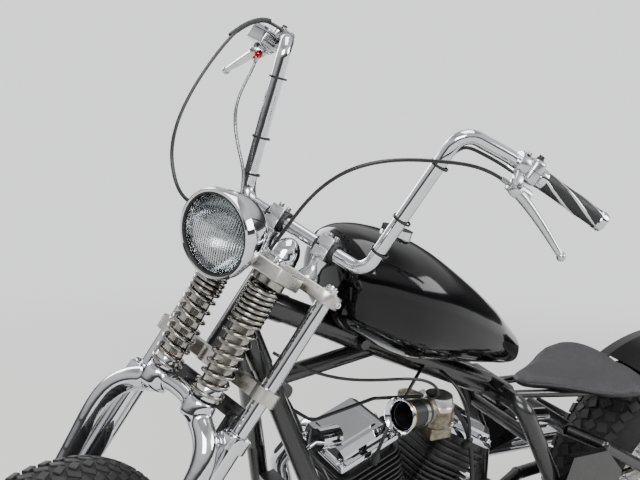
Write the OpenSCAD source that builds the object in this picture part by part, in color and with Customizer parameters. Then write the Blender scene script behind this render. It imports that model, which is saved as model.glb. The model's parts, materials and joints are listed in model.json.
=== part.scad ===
// Chopper motorcycle with a leading-link springer fork, parked on its side stand.
// Millimetres. Upright bike axes: +X forward, +Y left, +Z up, rear axle above x = 0.
// leaned() carries the bike's own axes to the parked pose; steered() carries the
// fork's axes (X forward across the steering axis, Y left, Z up along it).

/* [Stance] */
// Distance between the axles
wheelbase = 1620; // [1450:5:1800]
// Angle of the steering axis from upright, degrees
rake = 31; // [26:0.5:38]
// Lean to the left on the stand, degrees
lean = 10; // [5:0.5:12]
// Steering turned left onto its stop, degrees
steer = 24; // [0:1:28]

/* [Wheels] */
// Outer diameter of the front tyre
front_tyre_d = 680; // [600:2:720]
// Width of the front tyre
front_tyre_w = 110; // [80:1:130]
// Outer diameter of the rear tyre
rear_tyre_d = 653; // [600:1:700]
// Width of the rear tyre
rear_tyre_w = 170; // [130:1:190]
// Bead diameter of the front rim
front_bead_d = 482; // [430:2:540]
// Bead diameter of the rear rim
rear_bead_d = 381; // [360:1:440]
// Diameter of the axles
axle_d = 20; // [15:0.5:25]
// Diameter of the front brake disc
disc_d = 296; // [220:2:320]

/* [Fork] */
// Sideways distance from the centre to each rigid leg
leg_y = 118; // [100:1:130]
// Distance from the steering axis forward to the front axle
axle_x = 72; // [60:1:90]
// Distance from the spring plate down to the front axle
axle_drop = 761; // [700:1:820]
// Diameter of the rigid legs below the collars
leg_d = 40; // [34:1:44]
// Diameter of the spring fork's tubes
link_tube_d = 38; // [30:1:42]
// Sideways distance from the centre to each spring
spring_y = 52; // [44:1:60]
// Outer diameter of the fork springs
spring_d = 62; // [50:1:66]
// Diameter of the headlight's ring
lamp_d = 151; // [130:1:180]

/* [Handlebar] */
// Diameter of the handlebar
bar_d = 25.4; // [22:0.2:32]
// Height of the bar's rise
bar_rise = 284; // [200:5:340]
// Sideways distance from the centre to each grip's end
bar_half_w = 405; // [340:5:450]
// Diameter of the grips
grip_d = 36; // [32:0.5:42]

/* [Frame] */
// Diameter of the main tubes
tube_d = 38; // [32:1:45]
// Sideways distance from the centre to each cradle tube
cradle_y = 128; // [120:1:140]
// Sideways distance from the centre to each rear arm
arm_y = 130; // [125:1:150]

/* [Engine] */
// Angle between the cylinders, degrees
vee_angle = 52; // [45:1:60]
// Diameter of the crankcase's main drum
case_d = 235; // [200:5:260]
// Width of the crankcase
case_w = 210; // [180:5:240]
// Distance from the crankshaft to the top of the cylinder
barrel_h = 215; // [190:5:230]
// Height of the cylinder head and its cover
head_h = 105; // [90:5:120]

/* [Tank and seat] */
// Length of the fuel tank
tank_l = 500; // [420:5:560]
// Width of the fuel tank
tank_w = 300; // [240:5:340]
// Height of the seat above the ground
seat_h = 660; // [640:5:700]
// Width of the seat
seat_w = 300; // [240:5:340]

/* [Hidden] */
$fn = 48;

black = [0.03, 0.03, 0.035];
chrome = [0.8, 0.8, 0.82];
alloy = [0.62, 0.62, 0.64];
dark = [0.12, 0.12, 0.13];
rubber = [0.06, 0.06, 0.06];

seat_gap = 0.3;
chain_y = 100;
stand_x = 560;
stand_z = 180;
stand_fold = 100;
front_r = front_tyre_d / 2;
rear_r = rear_tyre_d / 2;
head_dx = axle_x * cos(rake) + axle_drop * sin(rake);
head_dz = axle_drop * cos(rake) - axle_x * sin(rake);
head_x = wheelbase - head_dx;
turn_sink = 7.6;
leg_x = -12;
head_z = front_r + head_dz - turn_sink;
row_x = -780.84;
row_y = -125.61;
row_z = 1.3;

module leaned() {
    translate([row_x, row_y, row_z])
        rotate([-lean, 0, 0])
            children();
}

module steered() {
    leaned()
        translate([head_x, 0, head_z])
            rotate([0, -rake, 0])
                rotate([0, 0, steer])
                    children();
}

// a point of the upright bike in the parked model's own axes
function parked(p) = [
    p[0] + row_x,
    p[1] * cos(lean) + p[2] * sin(lean) + row_y,
    p[2] * cos(lean) - p[1] * sin(lean) + row_z
];

// a point of the fork's axes, wheels ahead, in the upright bike's axes
function fork_at(x, z) = [
    head_x + x * cos(rake) - z * sin(rake),
    0,
    head_z + x * sin(rake) + z * cos(rake)
];

module rod(p, q, d) {
    v = q - p;
    l = norm(v);
    translate(p)
        rotate([0, acos(v[2] / l), atan2(v[1], v[0])])
            cylinder(d = d, h = l);
}

function unit(v) = v / norm(v);

// the points of a bend of radius r at p, from direction u to direction w
function bend(p, u, w, r, steps) =
    let (
        turn = acos(u * w),
        n = unit(w - u * (u * w)),
        c = p - u * r * tan(turn / 2) + n * r
    )
    [for (k = [0:steps]) c - n * r * cos(turn * k / steps) + u * r * sin(turn * k / steps)];

function bent_route(points, r, steps) =
    let (
        n = len(points),
        dirs = [for (i = [0:n - 2]) unit(points[i + 1] - points[i])]
    )
    [
        points[0],
        for (i = [1:n - 2]) each bend(points[i], dirs[i - 1], dirs[i], r, steps),
        points[n - 1]
    ];

function first_normal(t) = unit(cross(t, abs(t[2]) > 0.8 ? [0, 1, 0] : [0, 0, 1]));

// a round tube swept through the points, bent to radius r at the inner ones
module tube(points, d, r, sides = 16, steps = 5) {
    route = bent_route(points, r, steps);
    n = len(route);
    way = [for (i = [0:n - 1]) unit(route[min(i + 1, n - 1)] - route[max(i - 1, 0)])];
    normals = [
        for (i = 0, v = first_normal(way[0]); i < n;
            i = i + 1, v = i < n ? unit(v - way[i] * (v * way[i])) : v) v
    ];
    rings = [
        for (i = [0:n - 1], k = [0:sides - 1])
            route[i] + d / 2 * (normals[i] * cos(k * 360 / sides)
                + cross(way[i], normals[i]) * sin(k * 360 / sides))
    ];
    skin = [
        for (i = [0:n - 2], k = [0:sides - 1])
            let (a = i * sides + k, b = i * sides + (k + 1) % sides)
            each [[a, a + sides, b], [b, a + sides, b + sides]]
    ];
    start = [[for (k = [0:sides - 1]) k]];
    end = [[for (k = [0:sides - 1]) (n - 1) * sides + sides - 1 - k]];
    polyhedron(points = rings, faces = concat(skin, start, end));
}

// straight tubes from point to point, with a slightly fuller knuckle at each joint
module knuckled(points, d) {
    for (i = [0:len(points) - 2])
        rod(points[i], points[i + 1], d);
    for (i = [1:len(points) - 2])
        translate(points[i])
            sphere(d = d * 1.07);
}

// a straight socket that another tube butts against
module stub(p, q, d, l) {
    rod(p, p + unit(q - p) * l, d);
}

function past(p, q, l) = p + unit(q - p) * l;

module both_sides() {
    children();
    mirror([0, 1, 0])
        children();
}

module across(p, d, w) {
    translate(p)
        rotate([90, 0, 0])
            cylinder(d = d, h = w, center = true);
}

module ring_across(p, d, bore, w) {
    translate(p)
        rotate([90, 0, 0])
            difference() {
                cylinder(d = d, h = w, center = true);
                cylinder(d = bore, h = w + 2, center = true);
            }
}

module soft_box(size, r) {
    translate([-size[0] / 2, -size[1] / 2, 0])
        linear_extrude(height = size[2])
            translate([r, r])
                union() {
                    square([size[0] - 2 * r, size[1] - 2 * r]);
                    translate([0, -r]) square([size[0] - 2 * r, size[1]]);
                    translate([-r, 0]) square([size[0], size[1] - 2 * r]);
                    for (x = [0, size[0] - 2 * r], y = [0, size[1] - 2 * r])
                        translate([x, y]) circle(r = r);
                }
}

/* ---------- wheels ---------- */
module tyre(outer_d, w, bead_d, bead_w) {
    r = outer_d / 2;
    b = bead_d / 2;
    side = w / 2;
    rotate([90, 0, 0])
        rotate_extrude($fn = 96)
            difference() {
                polygon([
                    [b, -bead_w / 2], [b + 12, -bead_w / 2], [b + 18, -bead_w / 2 - 8],
                    [(r + b) / 2 - 2, -side],
                    [(r + b) / 2 + 16, -side], [r - w * 0.19, -side * 0.82],
                    [r - w * 0.07, -side * 0.55], [r - w * 0.015, -side * 0.26], [r, 0],
                    [r - w * 0.015, side * 0.26], [r - w * 0.07, side * 0.55],
                    [r - w * 0.19, side * 0.82], [(r + b) / 2 + 16, side],
                    [(r + b) / 2 - 2, side], [b + 18, bead_w / 2 + 8], [b + 12, bead_w / 2],
                    [b, bead_w / 2]
                ]);
                polygon([
                    [b - 1, -bead_w / 2 + 12], [b + 20, -bead_w / 2 + 9],
                    [(r + b) / 2, -side + 12], [r - w * 0.28, -side * 0.72],
                    [r - 16, 0], [r - w * 0.28, side * 0.72], [(r + b) / 2, side - 12],
                    [b + 20, bead_w / 2 - 9], [b - 1, bead_w / 2 - 12]
                ]);
            }
}

module rim(bead_d, bead_w) {
    b = bead_d / 2 - seat_gap;
    f = bead_w / 2 + seat_gap;
    rotate([90, 0, 0])
        rotate_extrude($fn = 96)
            polygon([
                [b, -f], [b + 11, -f], [b + 11, -f - 4], [b - 4, -f - 4], [b - 5, -f * 0.6],
                [b - 17, -f * 0.35], [b - 17, f * 0.35], [b - 5, f * 0.6], [b - 4, f + 4],
                [b + 11, f + 4], [b + 11, f], [b, f], [b, f * 0.6], [b - 13, f * 0.28],
                [b - 13, -f * 0.28], [b, -f * 0.6]
            ]);
}

module spokes(count, bead_d, flange_r, flange_y, spoke_d) {
    reach = bead_d / 2 - 18.4;
    for (i = [0:count - 1]) {
        side = i % 2 == 0 ? 1 : -1;
        twist = i % 4 < 2 ? 1 : -1;
        a = i * 360 / count;
        h = a + twist * 45;
        rod(
            [flange_r * sin(h), side * (flange_y + twist * 0.5), flange_r * cos(h)],
            [reach * sin(a), side * (5 + twist * 3.8), reach * cos(a)],
            spoke_d
        );
    }
}

module front_tyre() {
    color(rubber)
        steered() translate([axle_x, 0, -axle_drop])
            tyre(front_tyre_d, front_tyre_w, front_bead_d, 64);
}

module front_rim() {
    color(chrome)
        steered() translate([axle_x, 0, -axle_drop])
            rim(front_bead_d, 64);
}

module front_hub() {
    color(alloy)
        steered() translate([axle_x, 0, -axle_drop]) {
            difference() {
                union() {
                    across([0, 0, 0], 52, 110);
                    across([0, 31, 0], 92, 5);
                    across([0, -31, 0], 92, 5);
                    across([0, 52, 0], 120, 6);
                    ring_across([0, 58, 0], disc_d, disc_d - 70, 5);
                    for (i = [0:5])
                        rotate([0, i * 60, 0])
                            translate([0, 55, 0])
                                translate([-9, -2.4, 50])
                                    cube([18, 5, disc_d / 2 - 80]);
                }
                across([0, 0, 0], axle_d + 0.1, 140);
            }
        }
}

module front_spokes() {
    color(chrome)
        steered() translate([axle_x, 0, -axle_drop])
            spokes(36, front_bead_d, 47.9, 31, 4);
}

module rear_tyre() {
    color(rubber)
        leaned() translate([0, 0, rear_r])
            tyre(rear_tyre_d, rear_tyre_w, rear_bead_d, 88);
}

module rear_rim() {
    color(chrome)
        leaned() translate([0, 0, rear_r])
            rim(rear_bead_d, 88);
}

module rear_hub() {
    color(alloy)
        leaned() translate([0, 0, rear_r])
            difference() {
                union() {
                    across([0, 0, 0], 60, 200);
                    across([0, 38, 0], 110, 6);
                    across([0, -38, 0], 110, 6);
                    across([0, 80, 0], 150, 36);
                    ring_across([0, chain_y, 0], 214, 110, 7);
                    across([0, -92, 0], 140, 8);
                    ring_across([0, -92, 0], 250, 130, 6);
                }
                across([0, 0, 0], axle_d + 0.1, 240);
            }
}

module rear_spokes() {
    color(chrome)
        leaned() translate([0, 0, rear_r])
            spokes(36, rear_bead_d, 57.2, 38, 4.4);
}

/* ---------- fork and steering ---------- */
module steering_stem() {
    color(dark)
        steered()
            union() {
                translate([0, 0, -190]) cylinder(d = 26, h = 209);
                difference() {
                    translate([0, 0, -205]) linear_extrude(height = 26)
                        union() {
                            circle(d = 56);
                            translate([-24, -leg_y]) square([34, 2 * leg_y]);
                            for (y = [-leg_y, leg_y]) translate([leg_x, y]) circle(d = 52);
                        }
                    for (y = [-leg_y, leg_y]) translate([leg_x, y, -220]) cylinder(d = 30.6, h = 60);
                }
            }
}

module top_clamp() {
    color(alloy)
        steered()
            difference() {
                translate([0, 0, -4]) linear_extrude(height = 24)
                    union() {
                        circle(d = 50);
                        translate([-12, 0]) circle(d = 60);
                        translate([-32, -leg_y]) square([42, 2 * leg_y]);
                        for (y = [-leg_y, leg_y]) translate([leg_x, y]) circle(d = 52);
                    }
                translate([0, 0, -10]) cylinder(d = 26.4, h = 40);
                for (y = [-leg_y, leg_y]) translate([leg_x, y, -10]) cylinder(d = 30.6, h = 40);
            }
}

module spring_plate() {
    color(alloy)
        steered()
            difference() {
                union() {
                    translate([28, -86, -14]) cube([84, 172, 26]);
                    translate([108, -16, -14]) cube([12.2, 32, 10]);
                    for (y = [-spring_y, spring_y])
                        translate([77, y, -26]) cylinder(d = spring_d, h = 13);
                }
                for (y = [-spring_y, spring_y])
                    translate([77, y, -40]) cylinder(d = 16, h = 60);
            }
}

module rigid_legs() {
    color(chrome)
        steered()
            both_sides()
                difference() {
                    union() {
                        translate([leg_x, leg_y, -310]) cylinder(d = 30, h = 332);
                        translate([leg_x, leg_y, -axle_drop + 45])
                            cylinder(d = leg_d, h = axle_drop - 345);
                        translate([leg_x, leg_y, -300]) cylinder(d = 50, h = 24);
                        translate([leg_x, leg_y, -axle_drop + 16]) cylinder(d = 25, h = 34);
                        across([leg_x, leg_y, -axle_drop + 16], 40, 26);
                    }
                    across([leg_x, leg_y, -axle_drop + 16], 16.1, 60);
                }
}

module spring_fork() {
    color(chrome)
        steered()
            difference() {
                union() {
                    both_sides() {
                        translate([43, spring_y, -286]) cylinder(d = spring_d - 6, h = 34);
                        knuckled([
                            [43, spring_y, -276], [44, 112, -358],
                            [37, leg_y, -axle_drop + 42]
                        ], link_tube_d);
                        rod([37, leg_y, -axle_drop + 50], [36, leg_y, -axle_drop + 10], 25);
                        across([36, leg_y, -axle_drop + 10], 34, 26);
                    }
                    rod([43, -spring_y, -270], [43, spring_y, -270], 26);
                }
                both_sides() across([36, leg_y, -axle_drop + 10], 12.1, 60);
            }
}

module fork_springs() {
    color(dark)
        steered() both_sides()
            difference() {
                rod([76, spring_y, -31.3], [43.8, spring_y, -247], spring_d);
                rod([79.2, spring_y, -10], [37.4, spring_y, -290], 30);
            }
}

module rockers() {
    color(chrome)
        steered() {
            both_sides()
                difference() {
                    hull() {
                        across([leg_x, leg_y + 19.8, -axle_drop + 16], 36, 13);
                        across([axle_x, leg_y + 19.8, -axle_drop], 46, 13);
                    }
                    across([axle_x, leg_y + 19.8, -axle_drop], axle_d - 1, 40);
                }
            across([axle_x, 0, -axle_drop], axle_d, 2 * leg_y + 60);
            both_sides() {
                across([leg_x, leg_y, -axle_drop + 16], 16, 40);
                across([36, leg_y, -axle_drop + 10], 12, 40);
                across([axle_x, (leg_y + 70) / 2, -axle_drop], 28, leg_y - 41);
            }
        }
}

module stem_cap() {
    color(chrome)
        steered() translate([-12, 0, 20.3]) {
            cylinder(d = 56, h = 16);
            intersection() {
                translate([0, 0, 16]) sphere(d = 56);
                cylinder(d = 60, h = 60);
            }
        }
}

lamp_tilt = 3;

module at_lamp() {
    steered() translate([211, 0, 1]) rotate([0, 90 + rake - lamp_tilt, 0]) children();
}

module headlight() {
    color(chrome)
        at_lamp()
            rotate_extrude($fn = 72)
                polygon([
                    [0, -96], [22, -93], [43, -82], [59, -62], [68, -36], [lamp_d / 2 - 5, -14],
                    [lamp_d / 2, -12], [lamp_d / 2, 4], [lamp_d / 2 - 7, 8], [lamp_d / 2 - 9, 2],
                    [lamp_d / 2 - 12, -12], [64, -36], [55, -60], [40, -78], [20, -89], [0, -92]
                ]);
}

module headlight_lens() {
    color([0.85, 0.9, 0.95, 0.5])
        at_lamp()
            intersection() {
                translate([0, 0, -176]) sphere(r = 184, $fn = 96);
                translate([0, 0, -8]) cylinder(d = lamp_d - 23, h = 40, $fn = 72);
            }
}

bar_z = 80;
clamp_y = 60;
function grip_a_of(s) = [-20, s * 262, bar_z + bar_rise + 12];
function grip_b_of(s) = [-172, s * (bar_half_w - 2), bar_z + bar_rise + 14];

module handlebar() {
    color(chrome)
        steered()
            tube([
                grip_b_of(1), grip_a_of(1), [59, 199, bar_z + bar_rise], [-23, 148, bar_z],
                [-23, -148, bar_z], [59, -199, bar_z + bar_rise], grip_a_of(-1), grip_b_of(-1)
            ], bar_d, 34);
}

module bar_risers() {
    color(alloy)
        steered() both_sides()
            difference() {
                union() {
                    translate([-23, clamp_y, 20.3]) cylinder(d = 34, h = 42);
                    translate([-43, clamp_y - 16, bar_z - 22]) cube([40, 32, 44]);
                }
                across([-23, clamp_y, bar_z], bar_d + 0.3, 60);
            }
}

grip_a = grip_a_of(1);
grip_b = grip_b_of(1);
function along(t) = grip_a + (grip_b - grip_a) * t;

module grip() {
    difference() {
        rod(along(0.3), along(1.04), grip_d);
        rod(along(-0.2), along(1.002), bar_d + 0.5);
    }
}

module left_grip() {
    color(rubber)
        steered() grip();
}

module right_grip() {
    color(rubber)
        steered() mirror([0, 1, 0]) grip();
}

perch = [17, 19, -42];
lever_tip = along(0.747) + [33.6, 37.7, -96.5];

module control_side(reservoir) {
    difference() {
        union() {
            rod(along(0.06), along(0.28), 42);
            rod(along(0.06) + perch, along(0.28) + perch, 24);
            rod(along(0.16), along(0.16) + perch, 20);
            rod(along(0.12) + [20, 22, -46], lever_tip, 11);
            translate(lever_tip) sphere(d = 17);
            if (reservoir)
                translate(along(0.14) + [37, 16, -16]) cube([50, 46, 34], center = true);
        }
        rod(along(-0.5), along(1.0), bar_d + 0.5);
    }
}

module left_controls() {
    color(dark)
        steered() control_side(false);
}

module right_controls() {
    color(dark)
        steered() mirror([0, 1, 0]) control_side(true);
}

module control_cables() {
    u = unit(grip_b - grip_a);
    start = along(0.06) + perch - u * 0.3;
    color(black)
        steered() {
            tube([
                start, start - u * 60, [80, 205, 299], [134, 155, 258], [160, 105, 200],
                [137, 65, 130], [99, 40, 66], [90, 30, 36], [90, 30, 12.4]
            ], 7, 14, 8, 3);
            mirror([0, 1, 0])
                tube([
                    start, start - u * 18, [4, 270, 300], [35, 245, 244], [53, 215, 196],
                    [37, 175, 147], [23, 140, 116], [50, 100, 60], [90, 60, 40], [90, 60, 12.4]
                ], 7, 14, 8, 3);
            mirror([0, 1, 0])
                tube([
                    [-18, 277.1, 391], [53, 300, 380], [91, 290, 317], [151, 250, 222],
                    [190, 212, 140], [205, 178, 85], [200, 150, 50], [181, 110, 10],
                    [120, 80, 40], [95, 70, 32], [95, 70, 12.4]
                ], 7, 14, 8, 3);
        }
}

module front_caliper() {
    color(dark)
        steered() {
            difference() {
                translate([axle_x, 57, -axle_drop])
                    rotate([0, -64, 0])
                        translate([0, 0, disc_d / 2 - 20])
                            cube([92, 44, 56], center = true);
                across([axle_x, 57, -axle_drop], disc_d + 12, 16);
            }
            translate([-62, 70, -axle_drop + 39])
                cube([62 + leg_x - leg_d / 2 - 0.3, 62, 36]);
        }
}

/* ---------- frame ---------- */
neck_low = fork_at(0, -173);
neck_high = fork_at(0, -19);
spine_front = fork_at(-16, -62);
spine_rear = [600, 0, 640];
brace_rear = [905, 0, 768];
down_top = fork_at(-16, -116) + [0, 14, 0];
down_knee = [1085, cradle_y, 520];
post_top = [600, 112, 640];
neck_stub = 52;
down_cross = past(down_top, down_knee, 130);

module head_tube() {
    color(black)
        leaned()
            difference() {
                union() {
                    rod(neck_low, neck_high, 58);
                    stub(spine_front, spine_rear, 54, neck_stub);
                    both_sides()
                        stub(down_top, down_knee, tube_d + 4, neck_stub + 20);
                }
                rod(fork_at(0, -220), fork_at(0, 30), 26.1);
            }
}

module backbone() {
    color(black)
        leaned() {
            rod(past(spine_front, spine_rear, neck_stub + 0.2), spine_rear, 50);
            rod([down_cross[0] - 19.5, 0, down_cross[2]], brace_rear, 34);
            across(spine_rear, 52, 108);
            across([965, 0, 790], 20, 75.4);
            rod([700, 0, 690], [700, 0, 742], 14);
            across([700, 0, 742], 16, 75.4);
            difference() {
                across([down_cross[0] - 25, 0, down_cross[2]], 30, 2 * down_cross[1]);
                both_sides()
                    rod(down_top, down_knee, tube_d + 4.6);
            }
        }
}

module cradle() {
    tube([
        past(down_top, down_knee, neck_stub + 20.2), down_knee, [1010, cradle_y, 205],
        [930, cradle_y, 165], [520, cradle_y, 165], [440, cradle_y, 235],
        [468, cradle_y, 430], post_top, [spine_rear[0], 54.3, spine_rear[2]]
    ], tube_d, 30, 12, 4);
}

module left_cradle() {
    color(black)
        leaned() cradle();
}

module right_cradle() {
    color(black)
        leaned() mirror([0, 1, 0]) cradle();
}

stand_pin = [stand_x, cradle_y + 36, stand_z];
stand_foot = [stand_x + 65, 279, 64.5];

module cross_tubes() {
    color(black)
        leaned() {
            for (p = [[930, 0, 165], [520, 0, 165]])
                across(p, 28, 2 * cradle_y - tube_d - 0.5);
            across([534, 0, 545], 28, 2 * 99.6);
            translate([stand_x - 20, cradle_y + tube_d / 2 + 0.3, stand_z - 30]) cube([40, 5, 52]);
            translate(stand_pin)
                rotate([-70, 0, 0]) {
                    translate([0, 0, -16]) cylinder(d = 12, h = 27);
                    translate([0, 0, 6]) cylinder(d = 24, h = 5);
                }
        }
}

module seat_rails() {
    color(black)
        leaned() both_sides()
            rod([574.7, 32, 628], [212, 60, 596], 18);
}

module swingarm() {
    color(black)
        leaned() {
            both_sides() {
                knuckled([[0, arm_y, rear_r], [345, 114, 312], [432, 80, 302]], 32);
                knuckled([[0, arm_y, rear_r], [340, 120, 510], [400, 60, 530]], 28);
                across([0, arm_y, rear_r], 56, 16);
            }
            across([449.3, 0, 300], 46, 2 * (cradle_y - tube_d / 2 - seat_gap));
            across([400, 0, 532], 34, 130);
            across([0, 0, rear_r], axle_d, 2 * arm_y + 44);
        }
}

module rear_shock() {
    color(chrome)
        leaned()
            rod([417.5, 0, 533], [519.5, 0, 544], 46);
}

/* ---------- engine ---------- */
crank = [830, 0, 312];
gearbox = [668, 0, 318];
vee_tilt = -2;

module on_cylinder(s) {
    translate(crank) rotate([0, s * vee_angle / 2 + vee_tilt, 0]) children();
}

// the side of the vee's middle plane that the other cylinder is on
module other_side(s) {
    translate(crank) rotate([0, vee_tilt, 0])
        translate([s > 0 ? -399.7 : -0.3, -200, 0]) cube([400, 400, 400]);
}

module crankcase() {
    color(alloy)
        leaned()
            difference() {
                union() {
                    across(crank, case_d, case_w);
                    across(gearbox, 190, case_w - 26);
                    translate([668, -case_w / 2 + 13, 225]) cube([160, case_w - 26, 120]);
                    translate([740, -60, 184.5]) cube([150, 120, 60]);
                    translate([850, -25, 160]) cube([65.7, 50, 45]);
                    translate([534.3, -25, 165]) cube([80, 50, 88]);
                }
                for (s = [-1, 1])
                    on_cylinder(s) translate([-90, -130, 105.3]) cube([180, 260, 200]);
            }
}

module cylinder_fins(s) {
    leaned()
        difference() {
            on_cylinder(s) {
                translate([0, 0, 105.6]) soft_box([104, 116, barrel_h - 105.6], 20);
                for (i = [0:8])
                    translate([0, 0, 116 + i * 11]) soft_box([136, 150, 4], 26);
                translate([0, 0, barrel_h]) soft_box([128, 140, head_h - 40], 24);
                for (i = [0:3])
                    translate([0, 0, barrel_h + 6 + i * 13]) soft_box([144, 160, 4], 26);
            }
            other_side(s);
        }
}

module front_cylinder() {
    color(black) cylinder_fins(1);
}

module rear_cylinder() {
    color(black) cylinder_fins(-1);
}

module head_cover(s) {
    leaned() on_cylinder(s)
        translate([0, 0, barrel_h + head_h - 39.7]) {
            soft_box([140, 156, 26], 30);
            translate([0, 0, 25]) soft_box([116, 132, 18], 30);
        }
}

module front_head_cover() {
    color(chrome) head_cover(1);
}

module rear_head_cover() {
    color(chrome) head_cover(-1);
}

module left_engine_cover() {
    color(chrome)
        leaned() translate([0, case_w / 2 + 0.3, 0]) {
            translate(crank) rotate([-90, 0, 0]) cylinder(d = 196, h = 34);
            translate([640, 0, 318]) rotate([-90, 0, 0]) cylinder(d = 124, h = 22);
            translate([640, 0, 270]) cube([150, 22, 90]);
        }
}

module right_engine_cover() {
    color(chrome)
        leaned() translate([0, -case_w / 2 - 0.3, 0]) {
            translate(crank) rotate([90, 0, 0]) cylinder(d = 210, h = 40);
        }
}

module carburettor() {
    color([0.5, 0.47, 0.4])
        leaned() {
            translate([812, 92, 606]) soft_box([66, 66, 90], 12);
            across([812, 30, 640], 48, 80);
            rod([778.2, 0, 585], [864.2, 0, 585], 40);
            translate([812, 0, 580]) cylinder(d = 46, h = 70);
            rod(funnel_at - funnel_way * 62.3, funnel_at - funnel_way * 95, 50);
        }
}

funnel_at = [913, 117, 672.7];
funnel_dir = [0, 82, 14];
funnel_way = [sin(82) * cos(14), sin(82) * sin(14), cos(82)];

module air_funnel() {
    color(black)
        leaned()
            translate(funnel_at) rotate(funnel_dir)
                rotate_extrude()
                    polygon([
                        [22, -62], [26, -62], [27, -10], [32, 6], [36, 10], [36, 14], [30, 12],
                        [24, -6]
                    ]);
}

module radiator() {
    color(black)
        leaned()
            translate([1021, 0, 240]) rotate([0, 13.4, 0]) {
                translate([-17, -85, 0]) cube([34, 170, 240]);
                translate([-8, -cradle_y + 19.4, 190]) cube([16, 2 * cradle_y - 38.8, 18]);
            }
}

module front_exhaust() {
    color(chrome)
        leaned()
            tube([
                [945, -80.5, 530], [945, -150, 530], [985, -190, 430], [930, -196, 258],
                [860, -196, 252], [420, -200, 250]
            ], 42, 45);
}

module rear_exhaust() {
    color(chrome)
        leaned()
            tube([
                [712, -80.5, 522], [712, -150, 522], [650, -198, 440], [560, -205, 346],
                [40, -212, 330]
            ], 48, 45);
}

/* ---------- bodywork ---------- */
tank_front = 1057;
tank_rear = tank_front - tank_l;

module fuel_tank() {
    color(black)
        leaned()
            difference() {
                hull()
                    both_sides() {
                        translate([tank_front - 55, 60, 958]) sphere(r = 55, $fn = 32);
                        translate([tank_front - 55, 62, 880]) sphere(r = 50, $fn = 32);
                        translate([tank_front - 175, tank_w / 2 - 80, 905]) sphere(r = 80, $fn = 32);
                        translate([tank_front - 185, tank_w / 2 - 64, 820]) sphere(r = 62, $fn = 32);
                        translate([tank_front - 365, tank_w / 2 - 105, 788]) sphere(r = 62, $fn = 32);
                        translate([tank_rear + 34, 20, 732]) sphere(r = 32, $fn = 32);
                    }
                rod(spine_front, spine_rear, 76);
                translate([tank_rear - 50, -38, 500]) cube([tank_l + 200, 76, 262]);
                translate([920, -38, 700]) cube([400, 76, 110]);
            }
}

module fuel_cap() {
    color(chrome)
        leaned()
            translate([tank_front - 152, 0, 992.7])
                rotate([0, -12.8, 0])
                    cylinder(d = 62, h = 16);
}

module seat() {
    color(dark)
        leaned()
            difference() {
                hull() {
                    translate([490, 0, seat_h - 22]) scale([1, 1, 0.5]) sphere(r = 42, $fn = 24);
                    both_sides() {
                        translate([330, seat_w / 2 - 55, seat_h - 30]) scale([1, 1, 0.5]) sphere(r = 55, $fn = 24);
                        translate([250, seat_w / 2 - 50, seat_h - 22]) scale([1, 1, 0.5]) sphere(r = 50, $fn = 24);
                    }
                }
                translate([212, -200, 605.4]) rotate([0, -5.06, 0]) translate([-60, 0, -100]) cube([500, 400, 100]);
            }
}

module rear_fender() {
    color(black)
        leaned() translate([0, 0, rear_r]) {
            difference() {
                rotate([90, 0, 0]) rotate_extrude($fn = 96)
                    polygon([
                        [rear_r - 20, -98], [rear_r + 4, -98], [rear_r + 20, -88],
                        [rear_r + 28, -56], [rear_r + 30, 0], [rear_r + 28, 56],
                        [rear_r + 20, 88], [rear_r + 4, 98], [rear_r - 20, 98],
                        [rear_r - 20, 95], [rear_r + 3, 95], [rear_r + 17, 85],
                        [rear_r + 25, 54], [rear_r + 27, 0], [rear_r + 25, -54],
                        [rear_r + 17, -85], [rear_r + 3, -95], [rear_r - 20, -95]
                    ]);
                translate([-600, -200, -600]) cube([1200, 400, 660]);
                rotate([0, 30, 0]) translate([0, -200, -600]) cube([700, 400, 1200]);
            }
            both_sides() {
                rod([-16, 142.3, 30], [-120, 98, 300], 12);
                across([-16, 142.3, 30], 24, 8);
            }
        }
}

module tail_light() {
    color([0.6, 0.05, 0.05])
        leaned() translate([0, 0, rear_r]) rotate([0, -48, 0])
            translate([0, 0, rear_r + 30.3]) cylinder(d = 64, h = 36);
}

module number_plate() {
    color([0.9, 0.9, 0.88])
        leaned() translate([0, 0, rear_r]) rotate([0, -68, 0]) {
            translate([-20, -30, rear_r + 30.3]) cube([40, 60, 20]);
            translate([-62, -105, rear_r + 50]) cube([124, 210, 3]);
        }
}

module side_covers() {
    color(black)
        leaned() both_sides() {
            translate([400, 168, 380]) rotate([90, 0, 0])
                linear_extrude(height = 18)
                    polygon([[-70, 10], [50, -20], [100, 50], [80, 150], [-20, 150], [-80, 90]]);
            across([460, cradle_y + tube_d / 2 + 1.8, 400], 20, 3);
        }
}

module footpeg_side() {
    across([640, cradle_y + 27.3, 165], 36, 16);
    rod([640, cradle_y + 27, 165], [640, 300, 200], 22);
    rod([640, 200, 180], [800, 215, 190], 12);
    rod([800, 200, 190], [800, 270, 194], 16);
}

module left_footpeg() {
    color(chrome)
        leaned() footpeg_side();
}

module right_footpeg() {
    color(chrome)
        leaned() mirror([0, 1, 0]) footpeg_side();
}

module drive_chain() {
    color(dark)
        leaned()
            difference() {
                hull() {
                    across([0, chain_y, rear_r], 228, 9);
                    across([640, chain_y, 318], 96, 9);
                }
                hull() {
                    across([0, chain_y, rear_r], 215, 12);
                    across([640, chain_y, 318], 82, 12);
                }
            }
}

module engine_cables() {
    color(black)
        leaned() {
            tube([[1130, 40, 690], [1080, 60, 660], [950, 66, 690], [845.6, 76, 684]], 7, 25, 8);
            tube([
                [1141, 30, 709.8], [1136, 32, 660], [1050, 70, 560], [1000, 150, 440],
                [900, 168, 360], [890, 141.7, 346]
            ], 8, 14, 8);
        }
}

horn_hold = down_top + (down_knee - down_top) * 0.7;

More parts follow.
